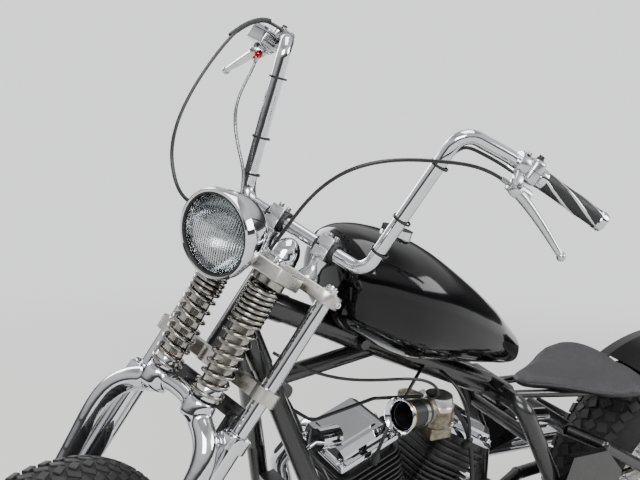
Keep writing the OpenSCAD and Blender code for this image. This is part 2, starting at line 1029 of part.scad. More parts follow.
module horn() {
    color(chrome)
        leaned() {
            translate([1014, 44, 610]) rotate([0, 80, 20]) cylinder(d = 44, h = 60);
            rod([1050, 56, 616], past(horn_hold, [1050, 56, 616], 20), 8);
        }
}

module rear_caliper() {
    color(dark)
        leaned() translate([0, -92.4, rear_r])
            difference() {
                rotate([0, 60, 0]) translate([0, 0, 104]) cube([80, 39, 50], center = true);
                translate([0, 0.4, 0]) across([0, 0, 0], 262, 12);
            }
}

module side_stand() {
    pin_way = [0, cos(20), sin(20)];
    d = unit(stand_foot - stand_pin);
    e = unit(d - pin_way * (d * pin_way));
    foot = parked(stand_foot);
    color(black) {
        leaned() {
            difference() {
                union() {
                    translate(stand_pin) rotate([-70, 0, 0])
                        cylinder(d = 34, h = 10, center = true);
                    rod(stand_pin + e * 10, stand_pin + e * 36, 9);
                }
                translate(stand_pin) rotate([-70, 0, 0])
                    cylinder(d = 12.1, h = 60, center = true);
            }
            rod(stand_pin + e * 26, stand_foot, 18);
        }
        translate([foot[0], foot[1], 0]) {
            cylinder(d = 46, h = 6);
            cylinder(d = 15, h = 16);
        }
    }
}

head_tube();
backbone();
left_cradle();
right_cradle();
cross_tubes();
seat_rails();
swingarm();
rear_shock();
crankcase();
front_cylinder();
rear_cylinder();
front_head_cover();
rear_head_cover();
left_engine_cover();
right_engine_cover();
carburettor();
air_funnel();
radiator();
front_exhaust();
rear_exhaust();
fuel_tank();
fuel_cap();
seat();
rear_fender();
tail_light();
number_plate();
side_covers();
left_footpeg();
right_footpeg();
drive_chain();
engine_cables();
horn();
rear_caliper();
side_stand();
rear_tyre();
rear_rim();
rear_hub();
rear_spokes();
steering_stem();
top_clamp();
spring_plate();
rigid_legs();
spring_fork();
fork_springs();
rockers();
stem_cap();
headlight();
headlight_lens();
handlebar();
bar_risers();
left_grip();
right_grip();
left_controls();
right_controls();
control_cables();
front_caliper();
front_tyre();
front_rim();
front_hub();
front_spokes();
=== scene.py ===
"""The looks of a chopper motorcycle: its finishes and the pieces modelled on its frame."""
import json
import logging
import math
from collections.abc import Iterator, Sequence
from contextlib import contextmanager
from dataclasses import dataclass, field
from enum import Enum

import bpy
from mathutils import Matrix, Vector


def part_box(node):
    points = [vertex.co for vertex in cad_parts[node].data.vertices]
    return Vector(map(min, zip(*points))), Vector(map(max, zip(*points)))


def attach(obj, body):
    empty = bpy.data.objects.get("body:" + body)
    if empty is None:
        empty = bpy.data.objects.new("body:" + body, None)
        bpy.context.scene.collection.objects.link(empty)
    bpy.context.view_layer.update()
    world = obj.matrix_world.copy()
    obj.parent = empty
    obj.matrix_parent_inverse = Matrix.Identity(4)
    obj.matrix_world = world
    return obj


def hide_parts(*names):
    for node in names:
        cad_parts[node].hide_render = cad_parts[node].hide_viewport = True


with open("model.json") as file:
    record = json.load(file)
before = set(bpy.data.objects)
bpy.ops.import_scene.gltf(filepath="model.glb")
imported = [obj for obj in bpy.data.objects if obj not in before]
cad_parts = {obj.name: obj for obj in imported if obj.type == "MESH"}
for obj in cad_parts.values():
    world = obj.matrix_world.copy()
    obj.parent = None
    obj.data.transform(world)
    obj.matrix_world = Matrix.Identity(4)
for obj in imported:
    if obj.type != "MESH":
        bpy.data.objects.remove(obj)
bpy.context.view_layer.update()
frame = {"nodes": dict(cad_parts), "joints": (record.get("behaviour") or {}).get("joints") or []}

log = logging.getLogger("chopper")
Point = Sequence[float]
Thing = bpy.types.Object


# ---------- axes: each sub-assembly is modelled in millimetres in its own axes ----------
def joint(name: str) -> dict:
    """One joint of the frame, by name."""
    return next(j for j in frame["joints"] if j["name"] == name)


def axes_at(origin: Point, y: Point, z: Point) -> Matrix:
    """Millimetre axes placed in the frame.

    Args:
        origin: where they start, in metres.
        y: direction of their Y axis.
        z: direction of their Z axis.

    Returns:
        The matrix that takes local millimetres to the frame's metres.
    """
    side, up = Vector(y).normalized(), Vector(z).normalized()
    matrix = Matrix((side.cross(up), side, up)).transposed().to_4x4()
    matrix.translation = Vector(origin)
    return matrix @ Matrix.Scale(0.001, 4)


def bike_axes() -> Matrix:
    """The leaning bike's axes: +X ahead, +Y left, from the ground below the rear axle."""
    spin = joint("rear_wheel_spin")
    low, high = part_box("rear_tyre")
    side = Vector(spin["axis"])
    up = Vector((1, 0, 0)).cross(side)
    return axes_at(Vector(spin["pos_m"]) - up * (high.x - low.x) / 2, side, up)


def fork_axes() -> Matrix:
    """The turned fork's axes: Z up the steering axis, from the top clamp's lower face."""
    steering = joint("steering")
    return axes_at(steering["pos_m"], joint("front_wheel_spin")["axis"], steering["axis"])


BIKE = bike_axes()
FORK = fork_axes()
LAMP = FORK @ Matrix.Translation((211, 0, 1)) @ Matrix.Rotation(math.radians(118), 4, "Y")


# ---------- modelling moves ----------
def clear() -> None:
    """Leaves edit mode and deselects everything."""
    if bpy.context.object and bpy.context.object.mode != "OBJECT":
        bpy.ops.object.mode_set(mode="OBJECT")
    bpy.ops.object.select_all(action="DESELECT")


def take(thing: Thing) -> Thing:
    """Selects one object alone and makes it active."""
    clear()
    thing.select_set(True)
    bpy.context.view_layer.objects.active = thing
    return thing


@contextmanager
def editing(thing: Thing) -> Iterator[None]:
    """Edit mode on one object, with all of it selected."""
    take(thing)
    bpy.ops.object.mode_set(mode="EDIT")
    bpy.ops.mesh.select_all(action="SELECT")
    yield
    bpy.ops.object.mode_set(mode="OBJECT")


def settle() -> Thing:
    """Puts the active object's place, turn and size into its mesh."""
    bpy.ops.object.transform_apply(location=True, rotation=True, scale=True)
    return bpy.context.object


def modify(thing: Thing, kind: str, **settings: object) -> Thing:
    """Adds a modifier with its settings and applies it."""
    take(thing)
    modifier = thing.modifiers.new(kind.title(), kind)
    for key, value in settings.items():
        setattr(modifier, key, value)
    bpy.ops.object.modifier_apply(modifier=modifier.name)
    return thing


def rounded(thing: Thing, width: float, segments: int = 3, angle: float = 30) -> Thing:
    """Bevels every edge sharper than the angle."""
    return modify(thing, "BEVEL", width=width, segments=segments, limit_method="ANGLE",
                  angle_limit=math.radians(angle), use_clamp_overlap=True)


def outward(thing: Thing) -> Thing:
    """Merges doubles and turns all faces outwards."""
    with editing(thing):
        bpy.ops.mesh.remove_doubles(threshold=0.001)
        bpy.ops.mesh.normals_make_consistent(inside=False)
    return thing


def moved(thing: Thing, matrix: Matrix) -> Thing:
    """Moves a mesh by a matrix, with the faces kept outward."""
    thing.data.transform(matrix)
    if matrix.determinant() < 0:
        thing.data.flip_normals()
    return thing


def shifted(thing: Thing, x: float, y: float, z: float) -> Thing:
    """Moves a mesh by a distance."""
    return moved(thing, Matrix.Translation((x, y, z)))


def copied(thing: Thing, matrix: Matrix) -> Thing:
    """A copy with its own mesh, moved by a matrix."""
    twin = thing.copy()
    twin.data = thing.data.copy()
    bpy.context.collection.objects.link(twin)
    return moved(twin, matrix)


MIRROR = Matrix.Diagonal((1, -1, 1, 1))


def mirrored(parts: list[Thing]) -> list[Thing]:
    """The parts and their mirror images on the other side of the bike."""
    return parts + [copied(p, MIRROR) for p in parts]


def between(p: Point, q: Point) -> Matrix:
    """The matrix that stands a piece modelled up the Z axis at p, pointing to q."""
    start, way = Vector(p), Vector(q) - Vector(p)
    return Matrix.Translation(start) @ way.to_track_quat("Z", "Y").to_matrix().to_4x4()


def facing(p: Point, way: Point) -> Matrix:
    """The matrix that stands a piece at p, with its Z axis along a direction."""
    return between(p, Vector(p) + Vector(way))


def distance(p: Point, q: Point) -> float:
    """The distance between two points."""
    return (Vector(q) - Vector(p)).length


def turned(profile: Sequence[Point], sides: int = 48, ring: bool = False) -> Thing:
    """A lathe-turned shape about Z.

    Args:
        profile: (radius, height) pairs, in order up one side.
        sides: faces round the axis.
        ring: whether the last pair joins the first, round an open bore.

    Returns:
        The closed mesh.
    """
    clear()
    r, z = profile[0]
    bpy.ops.mesh.primitive_circle_add(vertices=sides, radius=max(r, 0.05), location=(0, 0, z))
    thing = settle()
    with editing(thing):
        for wide, high in profile[1:]:
            wide = max(wide, 0.05)
            bpy.ops.mesh.extrude_region_move(TRANSFORM_OT_translate={"value": (0, 0, high - z)})
            scale = wide / max(r, 0.05)
            bpy.ops.transform.resize(value=(scale, scale, 1), center_override=(0, 0, high))
            r, z = wide, high
        bpy.ops.mesh.select_all(action="DESELECT")
        bpy.ops.mesh.select_non_manifold()
        if ring:
            bpy.ops.mesh.bridge_edge_loops()
        else:
            bpy.ops.mesh.select_all(action="SELECT")
            bpy.ops.mesh.fill_holes(sides=0)
        bpy.ops.mesh.select_all(action="SELECT")
        bpy.ops.mesh.normals_make_consistent(inside=False)
    return thing


def block(size: Point, at: Point = (0, 0, 0), edge: float = 1.5, segments: int = 3) -> Thing:
    """A box with its centre at a point and its edges rounded."""
    clear()
    bpy.ops.mesh.primitive_cube_add(size=1, location=at, scale=size)
    return rounded(settle(), edge, segments)


def plate(outline: Sequence[Point], low: float, high: float, edge: float = 1.5) -> Thing:
    """A flat outline drawn up from one height to another, with its edges rounded."""
    clear()
    bpy.ops.mesh.primitive_circle_add(vertices=len(outline), radius=1)
    thing = settle()
    for vertex, (x, y) in zip(thing.data.vertices, outline):
        vertex.co = (x, y, low)
    with editing(thing):
        bpy.ops.mesh.edge_face_add()
        bpy.ops.mesh.extrude_region_move(TRANSFORM_OT_translate={"value": (0, 0, high - low)})
        bpy.ops.mesh.select_all(action="SELECT")
        bpy.ops.mesh.normals_make_consistent(inside=False)
    return rounded(thing, edge, 3) if edge else thing


def bends(points: Sequence[Point], radius: float, steps: int = 8) -> list[Vector]:
    """Rounds the inner corners of a route of straight runs.

    Args:
        points: the route's ends and corners.
        radius: the radius of each bend.
        steps: straight steps in each bend.

    Returns:
        The points of the rounded route.
    """
    route = [Vector(p) for p in points]
    smooth = [route[0]]
    for before, corner, after in zip(route, route[1:], route[2:]):
        u, w = (corner - before).normalized(), (after - corner).normalized()
        turn = u.angle(w)
        if turn < 0.01:
            smooth.append(corner)
            continue
        reach = radius * math.tan(turn / 2)
        n = (w - u * u.dot(w)).normalized()
        centre = corner - u * reach + n * radius
        smooth += [centre - n * radius * math.cos(turn * k / steps)
                   + u * radius * math.sin(turn * k / steps) for k in range(steps + 1)]
    return smooth + [route[-1]]


def swept(points: Sequence[Point], d: float, sides: int = 16, smooth: bool = False,
          taper: Sequence[float] = ()) -> Thing:
    """A round tube along a route.

    Args:
        points: the route.
        d: the tube's diameter.
        sides: faces round the tube.
        smooth: whether the tube runs in one smooth curve through the points' neighbourhood.
        taper: the tube's size at each point, as a share of d.

    Returns:
        The closed mesh.
    """
    clear()
    bpy.ops.curve.primitive_nurbs_path_add()
    thing = bpy.context.object
    curve = thing.data
    curve.splines.clear()
    spline = curve.splines.new("NURBS" if smooth else "POLY")
    spline.points.add(len(points) - 1)
    for place, point in zip(spline.points, points):
        place.co = (*point, 1)
    for place, size in zip(spline.points, taper):
        place.radius = size
    if smooth:
        spline.order_u, spline.use_endpoint_u, curve.resolution_u = 4, True, 6
    curve.dimensions, curve.bevel_depth = "3D", d / 2
    curve.bevel_resolution, curve.use_fill_caps = sides // 2 - 2, True
    bpy.ops.object.convert(target="MESH")
    return outward(thing)


def joined(parts: list[Thing]) -> Thing:
    """All the parts as one mesh, each with its own materials."""
    clear()
    for part in parts:
        part.select_set(True)
    bpy.context.view_layer.objects.active = parts[0]
    if len(parts) > 1:
        bpy.ops.object.join()
    return bpy.context.object


def ring_of(thing: Thing, count: int, axis: str = "Z", centre: Point = (0, 0, 0)) -> list[Thing]:
    """A part and its copies, evenly round an axis."""
    out, back = Matrix.Translation(centre), Matrix.Translation(-Vector(centre))
    return [thing] + [
        copied(thing, out @ Matrix.Rotation(math.tau * k / count, 4, axis) @ back)
        for k in range(1, count)]


def cap_screw(d: float, h: float) -> Thing:
    """A socket-head screw's head, with its socket sunk, standing on z = 0."""
    head = turned([(d / 2, 0), (d / 2, h), (d * 0.28, h), (d * 0.26, h * 0.45)], 24)
    return rounded(head, d * 0.05, 2)


def hex_nut(d: float, h: float) -> Thing:
    """A hexagon nut with a domed top, standing on z = 0."""
    nut = rounded(turned([(d / 2, 0), (d / 2, h)], 6), d * 0.05, 2)
    dome = turned([(d * 0.36, h), (d * 0.34, h * 1.25), (d * 0.2, h * 1.5), (0, h * 1.58)], 20)
    return joined([nut, dome])


# ---------- finishes ----------
def linear(code: str) -> tuple[float, float, float, float]:
    """A hex sRGB colour as linear red, green, blue and alpha."""
    parts = [int(code[i:i + 2], 16) / 255 for i in (1, 3, 5)]
    red, green, blue = (c / 12.92 if c <= 0.04045 else ((c + 0.055) / 1.055) ** 2.4 for c in parts)
    return red, green, blue, 1.0


def add(tree: bpy.types.NodeTree, kind: str, inputs: dict, **settings: object) -> bpy.types.Node:
    """Adds a node.

    Args:
        tree: the node tree.
        kind: the node's type.
        inputs: input name or number to a value, or to another node's output.
        settings: the node's own properties.

    Returns:
        The node.
    """
    made = tree.nodes.new(kind)
    for key, value in settings.items():
        setattr(made, key, value)
    for key, value in inputs.items():
        if isinstance(value, bpy.types.NodeSocket):
            tree.links.new(value, made.inputs[key])
        else:
            made.inputs[key].default_value = value
    return made


def per_metre(size_mm: float) -> float:
    """The scale of a pattern whose features are a size in millimetres."""
    return 1000 / size_mm


@dataclass(frozen=True)
class Finish:
    """A surface with a fine grain, a slower mottle in its colour and an uneven polish."""

    name: str
    colour: str
    metallic: float = 0.0
    roughness: float = 0.4
    swing: float = 0.05
    ior: float = 1.5
    coat: float = 0.0
    grain_mm: float = 1.0
    grain_depth: float = 0.05
    second: str = ""
    mottle_mm: float = 60.0
    transmission: float = 0.0

    def build(self) -> bpy.types.Material:
        """The material, made once."""
        found = bpy.data.materials.get(self.name)
        if found:
            return found
        material = bpy.data.materials.new(self.name)
        material.use_nodes = True
        tree = material.node_tree
        tree.nodes.clear()
        place = self.place(tree)
        mottle = add(tree, "ShaderNodeTexNoise",
                     {"Vector": place, "Scale": per_metre(self.mottle_mm), "Detail": 3.0})
        spread = add(tree, "ShaderNodeMapRange", {
            "Value": mottle.outputs["Fac"], "From Min": 0.35, "From Max": 0.65,
            "To Min": max(self.roughness - self.swing, 0.02), "To Max": self.roughness + self.swing})
        inputs = {
            "Base Color": self.tint(tree, place, mottle.outputs["Fac"]),
            "Roughness": spread.outputs["Result"], "Metallic": self.metallic,
            "Coat Weight": self.coat, "Coat Roughness": 0.03,
            "Transmission Weight": self.transmission,
            "Normal": self.relief(tree, place)}
        if self.metallic < 0.5:
            inputs["IOR"] = self.ior
        shader = add(tree, "ShaderNodeBsdfPrincipled", inputs)
        add(tree, "ShaderNodeOutputMaterial", {"Surface": shader.outputs["BSDF"]})
        return material

    def place(self, tree: bpy.types.NodeTree) -> bpy.types.NodeSocket:
        """Where the pattern is read."""
        return add(tree, "ShaderNodeTexCoord", {}).outputs["Object"]

    def tint(self, tree: bpy.types.NodeTree, place: bpy.types.NodeSocket,
             mottle: bpy.types.NodeSocket) -> bpy.types.NodeSocket:
        """The base colour, drifting to the second one with the mottle."""
        ramp = add(tree, "ShaderNodeValToRGB", {"Fac": mottle})
        ramp.color_ramp.elements[0].position, ramp.color_ramp.elements[1].position = 0.35, 0.7
        ramp.color_ramp.elements[0].color = linear(self.colour)
        ramp.color_ramp.elements[1].color = linear(self.second or self.colour)
        return ramp.outputs["Color"]

    def relief(self, tree: bpy.types.NodeTree,
               place: bpy.types.NodeSocket) -> bpy.types.NodeSocket:
        """The fine grain as a bump."""
        grain = add(tree, "ShaderNodeTexNoise",
                    {"Vector": place, "Scale": per_metre(self.grain_mm), "Detail": 4.0})
        return self.bump(tree, grain.outputs["Fac"])

    def bump(self, tree: bpy.types.NodeTree,
             height: bpy.types.NodeSocket) -> bpy.types.NodeSocket:
        """A bump a third of the grain's size deep, at the grain's strength."""
        return add(tree, "ShaderNodeBump", {
            "Height": height, "Strength": self.grain_depth,
            "Distance": self.grain_mm / 3000}).outputs["Normal"]


@dataclass(frozen=True)
class Hide(Finish):
    """Leather: closed pebbles of grain with darker creases between them."""

    def relief(self, tree: bpy.types.NodeTree,
               place: bpy.types.NodeSocket) -> bpy.types.NodeSocket:
        """Pebbles from cells."""
        cells = add(tree, "ShaderNodeTexVoronoi",
                    {"Vector": place, "Scale": per_metre(self.grain_mm)}, feature="DISTANCE_TO_EDGE")
        soft = add(tree, "ShaderNodeMapRange", {
            "Value": cells.outputs["Distance"], "From Max": 0.25})
        return self.bump(tree, soft.outputs["Result"])


@dataclass(frozen=True)
class Braid(Finish):
    """A woven sleeve: two crossed sets of strands."""

    def relief(self, tree: bpy.types.NodeTree,
               place: bpy.types.NodeSocket) -> bpy.types.NodeSocket:
        """Strands one way crossed by strands the other way."""
        waves = [add(tree, "ShaderNodeTexWave", {
            "Vector": place, "Scale": per_metre(self.grain_mm) / 20}, bands_direction=way)
            for way in ("DIAGONAL", "Z")]
        cross = add(tree, "ShaderNodeMath", {
            0: waves[0].outputs["Fac"], 1: waves[1].outputs["Fac"]}, operation="MULTIPLY")
        return self.bump(tree, cross.outputs["Value"])


class Paint(Enum):
    """Every finish on the machine."""

    # chromium plating on polished steel: a bright, faintly blue mirror
    CHROME = Finish("chromium_plate", "#D6D7DA", 1.0, 0.05, 0.02, grain_mm=30, grain_depth=0.02,
                    second="#CBCCD0", mottle_mm=90)
    # plated springs given a darker grey than the chrome: painted shade for the shade in and between
    # their coils, with dust dulling the polish
    SMOKED = Finish("spring_plating_dust_and_painted_shade", "#A5A29C", 1.0, 0.14, 0.06, grain_mm=6,
                    grain_depth=0.03, second="#7F7C77", mottle_mm=14)
    # sand-cast and tumbled aluminium: satin, with soft cloudy patches
    CAST = Finish("tumbled_cast_aluminium", "#C9C8C4", 1.0, 0.3, 0.08, grain_mm=0.9,
                  grain_depth=0.10, second="#B4B2AB", mottle_mm=22)
    # clear-lacquered die casting of the hand controls: bright and smooth
    LACQUERED = Finish("lacquered_die_casting", "#C6C7C9", 1.0, 0.24, 0.05, coat=0.3, grain_mm=1.6,
                       grain_depth=0.04, second="#B9BABD", mottle_mm=30)
    # zinc body of the carburettors: dull, warm grey with brown stains
    ZINC = Finish("aged_zinc_casting", "#8B8678", 1.0, 0.42, 0.1, grain_mm=1.2, grain_depth=0.2,
                  second="#5E584A", mottle_mm=12)
    BRASS = Finish("polished_brass", "#C9B079", 1.0, 0.2, 0.06, grain_mm=3, grain_depth=0.03,
                   second="#A9905C", mottle_mm=20)
    # black enamel under clear lacquer: deep gloss with a faint orange peel
    ENAMEL = Finish("black_enamel", "#040405", 0.0, 0.08, 0.03, 1.38, 0.0, grain_mm=7,
                    grain_depth=0.012, second="#0B0B0D", mottle_mm=120)
    # baked powder coat on the frame: black, a little less deep than enamel
    POWDER = Finish("black_powder_coat", "#0C0C0D", 0.0, 0.28, 0.06, 1.5, 0.5, grain_mm=2.5,
                    grain_depth=0.05, second="#121213", mottle_mm=50)
    # heat-proof black on the cylinders: satin, greying a little on its fins
    HEATPROOF = Finish("heatproof_black", "#101011", 0.0, 0.45, 0.08, 1.5, grain_mm=1.0,
                       grain_depth=0.12, second="#1B1B1C", mottle_mm=30)
    PLASTIC = Finish("moulded_black_plastic", "#0E0E0F", 0.0, 0.42, 0.06, 1.49, grain_mm=0.8,
                     grain_depth=0.12, second="#151516", mottle_mm=18)
    # tyre tread rubber: dry and dark, with dust in its texture
    TYRE = Finish("tyre_rubber", "#151515", 0.0, 0.72, 0.1, 1.52, grain_mm=1.1, grain_depth=0.3,
                  second="#222120", mottle_mm=26)
    # painted shade: a blacker copy of the tread rubber for the tyre's grooves and walls between the
    # blocks, and for the dark discs in the exhaust mouths
    GROOVE = Finish("painted_shade_black_rubber", "#0B0B0B", 0.0, 0.85, 0.08, 1.52, grain_mm=1.4,
                    grain_depth=0.3, second="#141413", mottle_mm=30)
    RUBBER = Finish("moulded_rubber", "#111112", 0.0, 0.55, 0.08, 1.52, grain_mm=0.9,
                    grain_depth=0.15, second="#18181A", mottle_mm=16)
    # vinyl sheath of cables: smooth black with a soft shine
    SHEATH = Finish("cable_sheath", "#0B0B0C", 0.0, 0.33, 0.06, 1.53, grain_mm=2,
                    grain_depth=0.05, second="#101011", mottle_mm=30)
    # drawn waxed cowhide: pebbled grain 1.6 mm across, drawn twice its size so that it shows
    LEATHER = Hide("waxed_cowhide", "#1A1A1C", 0.0, 0.42, 0.09, 1.5, grain_mm=3.2,
                   grain_depth=0.35, second="#26262A", mottle_mm=70)
    STEEL = Finish("zinc_plated_steel", "#9B9B9C", 1.0, 0.3, 0.08, grain_mm=1.5, grain_depth=0.06,
                   second="#86868A", mottle_mm=10)
    CHAIN = Finish("oiled_chain_steel", "#4E4A44", 1.0, 0.36, 0.1, grain_mm=1.5, grain_depth=0.1,
                   second="#35322E", mottle_mm=12)
    GLASS = Finish("headlamp_glass", "#F2F5F6", 0.0, 0.03, 0.01, 1.52, grain_mm=8,
                   grain_depth=0.01, transmission=1.0)
    REFLECTOR = Finish("vapour_aluminium", "#C7CACD", 1.0, 0.1, 0.03, grain_mm=9,
                       grain_depth=0.05, second="#8F9398", mottle_mm=35)
    RED_LENS = Finish("red_acrylic", "#9C0B10", 0.0, 0.12, 0.04, 1.49, 0.3, grain_mm=3,
                      grain_depth=0.1, second="#7A070B", mottle_mm=12, transmission=0.4)
    RED_METAL = Finish("red_anodised_aluminium", "#B01E2A", 1.0, 0.25, 0.05, grain_mm=1,
                       grain_depth=0.05, second="#8E1320", mottle_mm=6)
    BRAIDED = Braid("braided_steel_hose", "#8F9190", 1.0, 0.3, 0.08, grain_mm=1.2,
                    grain_depth=0.6, second="#5F6160", mottle_mm=4)
    PLATE = Finish("white_plate_enamel", "#DEDED8", 0.0, 0.35, 0.05, 1.5, 0.2, grain_mm=2,
                   grain_depth=0.04, second="#D2D2CB", mottle_mm=60)

    @property
    def material(self) -> bpy.types.Material:
        """The finish as a material."""
        return self.value.build()


def dressed(thing: Thing, paint: Paint) -> Thing:
    """Gives all of a mesh one finish."""
    thing.data.materials.clear()
    thing.data.materials.append(paint.material)
    return thing


def coated(parts: list[Thing], paint: Paint) -> list[Thing]:
    """Gives several meshes one finish."""
    return [dressed(p, paint) for p in parts]


@dataclass
class SubAssembly:
    """Pieces that share axes and a body."""

    body: str
    axes: Matrix

    def hand_in(self, name: str, parts: list[Thing], slot: str, *nodes: str,
                angle: float = 32) -> Thing:
        """Joins the parts into one piece and puts it on its body.

        Args:
            name: the piece's name.
            parts: its dressed meshes, in this sub-assembly's axes.
            slot: not used.
            nodes: the frame's nodes that it stands for.
            angle: edges sharper than this stay sharp.

        Returns:
            The piece.
        """
        piece = moved(joined(parts), self.axes)
        piece.name = piece.data.name = name
        take(piece)
        bpy.ops.object.shade_smooth_by_angle(angle=math.radians(angle))
        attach(piece, self.body)
        if nodes:
            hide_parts(*nodes)
        log.info("%s: %d faces on %s", name, len(piece.data.polygons), self.body)
        return piece


# ---------- fork and steering ----------
@dataclass
class Springs(SubAssembly):
    """The fork's springs: wire coils round ribbed sleeves, each seated in a turned cup."""

    spread: float = 52
    top: tuple[float, float] = (76, -31.6)
    bottom: tuple[float, float] = (43.8, -246)
    outer: float = 61
    wire: float = 7.4
    close_turns: int = 6
    close_pitch: float = 9.6
    open_turns: int = 7
    sleeve: float = 43
    cup: float = 48

    def coil(self, length: float) -> Thing:
        """One wire: a flat end, close turns, open turns and a flat end."""
        steps = 18
        turns = self.close_turns + self.open_turns + 2
        wide = (length - self.close_turns * self.close_pitch - 2 * self.wire) / self.open_turns
        height, points = self.wire / 2, []
        for k in range(turns * steps + 1):
            turn = k / steps
            pitch = self.wire if turn < 1 or turn > turns - 1 else (
                wide if turn < 1 + self.open_turns else self.close_pitch)
            radius, angle = (self.outer - self.wire) / 2, math.tau * turn
            points.append((radius * math.cos(angle), radius * math.sin(angle), height))
            height += pitch / steps
        scale = (length - self.wire) / (height - self.wire / 2)
        return swept([(x, y, (z - self.wire / 2) * scale + self.wire / 2) for x, y, z in points],
                     self.wire, 8)

    def ribbed_sleeve(self, length: float) -> Thing:
        """The sleeve inside the coil, with flutes down it."""
        clear()
        bpy.ops.mesh.primitive_cylinder_add(
            vertices=96, radius=self.sleeve / 2, depth=length, location=(0, 0, length / 2))
        tube = settle()
        for vertex in tube.data.vertices:
            if round(math.degrees(math.atan2(vertex.co.y, vertex.co.x)) / 3.75) % 2:
                vertex.co.xy *= 0.945
        return tube

    def build(self) -> None:
        """Models one spring and its mirror image."""
        (top_x, top_z), (low_x, low_z) = self.top, self.bottom
        low, high = (low_x, self.spread, low_z), (top_x, self.spread, top_z)
        length = distance(low, high)
        stand = between(low, high)
        cup = turned([(self.cup / 2, 0), (self.cup / 2, 21), (self.cup / 2 - 2, 23),
                      (self.sleeve / 2, 23)], 64)
        coil, sleeve = self.coil(length), self.ribbed_sleeve(length)
        # coil and sleeve take the darker plating: painted shade between the coils, and dust
        parts = coated([coil, sleeve], Paint.SMOKED) + [dressed(cup, Paint.CHROME)]
        parts = mirrored([moved(p, stand) for p in parts])
        self.hand_in("spring_coils", parts, "dark_steel", "fork_springs", angle=60)


@dataclass
class SpringerLegs(SubAssembly):
    """The moving fork: one casting of bosses, crossbar and bowed legs, and the fixed legs' trim."""

    boss: tuple[float, float, float] = (43, 52, -272)
    leg_y: float = 118
    eye: tuple[float, float, float] = (36, 118, -751)
    collar_z: float = -288
    leg_x: float = -12

    def casting(self) -> Thing:
        """Bosses, arch and legs grown together as one casting."""
        x, y, z = self.boss
        boss = shifted(turned([(24, -20), (28, -14), (29, 8), (27, 18), (24.6, 20.5)], 48), x, y, z)
        leg = swept([(x, y - 6, z - 4), (44, y + 26, z - 16), (46, 112, -312), (46, 128, -360),
                     (45, 127, -410), (42, 122, -480), (39, self.leg_y, -580),
                     (37, self.leg_y, -660), (37, self.leg_y, -744)],
                    40, 24, True, (1.05, 1.1, 1.1, 1.08, 1.0, 0.92, 0.88, 0.86, 0.84))
        arch = swept([(x, -y, z), (x + 3, -y / 2, z + 9), (x + 5, 0, z + 12), (x + 3, y / 2, z + 9),
                      (x, y, z)], 33, 24, True)
        cast = joined(mirrored([boss, leg]) + [arch])
        modify(cast, "REMESH", mode="VOXEL", voxel_size=3.4, use_smooth_shade=True)
        return modify(cast, "SMOOTH", factor=0.5, iterations=6)

    def eyes(self) -> list[Thing]:
        """The legs' lower eyes with their pivot bolts."""
        eye = moved(turned([(17, -13), (17, 13)], 40), Matrix.Rotation(math.pi / 2, 4, "X"))
        bolt = moved(hex_nut(20, 8), Matrix.Rotation(-math.pi / 2, 4, "X"))
        parts = [rounded(eye, 2), shifted(bolt, 0, 26.4, 0)]
        return mirrored([shifted(p, *self.eye) for p in parts])

    def collars(self) -> list[Thing]:
        """Split clamps where the fixed legs step up, each with its pinch bolt."""
        ring = turned([(20.4, -13), (25.5, -13), (26, -11), (26, 11), (25.5, 13), (20.4, 13)],
                      48, ring=True)
        lug = block((22, 26, 24), (29, 0, 0), 2.5)
        bolt = moved(cap_screw(11, 7), Matrix.Translation((30, -13, 0))
                     @ Matrix.Rotation(math.pi / 2, 4, "X"))
        seat = Matrix.Translation((self.leg_x, self.leg_y, self.collar_z))
        return mirrored([moved(p, seat) for p in (ring, lug, bolt)])

    def brace(self) -> list[Thing]:
        """The dark stay between the fixed legs, behind the springs."""
        bar = block((12, 2 * self.leg_y - 40, 30), (self.leg_x - 10, 0, self.collar_z + 40), 3)
        tab = block((12, 24, 50), (self.leg_x - 8, 84, self.collar_z + 14), 4)
        return [bar] + mirrored([tab])

    def build(self) -> None:
        """Models the casting and the trim."""
        cast = coated([self.casting()] + self.eyes(), Paint.CHROME)
        self.hand_in("springer_casting", cast, "chrome", "spring_fork", angle=50)
        self.hand_in("leg_collars", coated(self.collars(), Paint.CHROME), "chrome")
        self.hand_in("leg_brace", coated(self.brace(), Paint.POWDER), "black_paint")


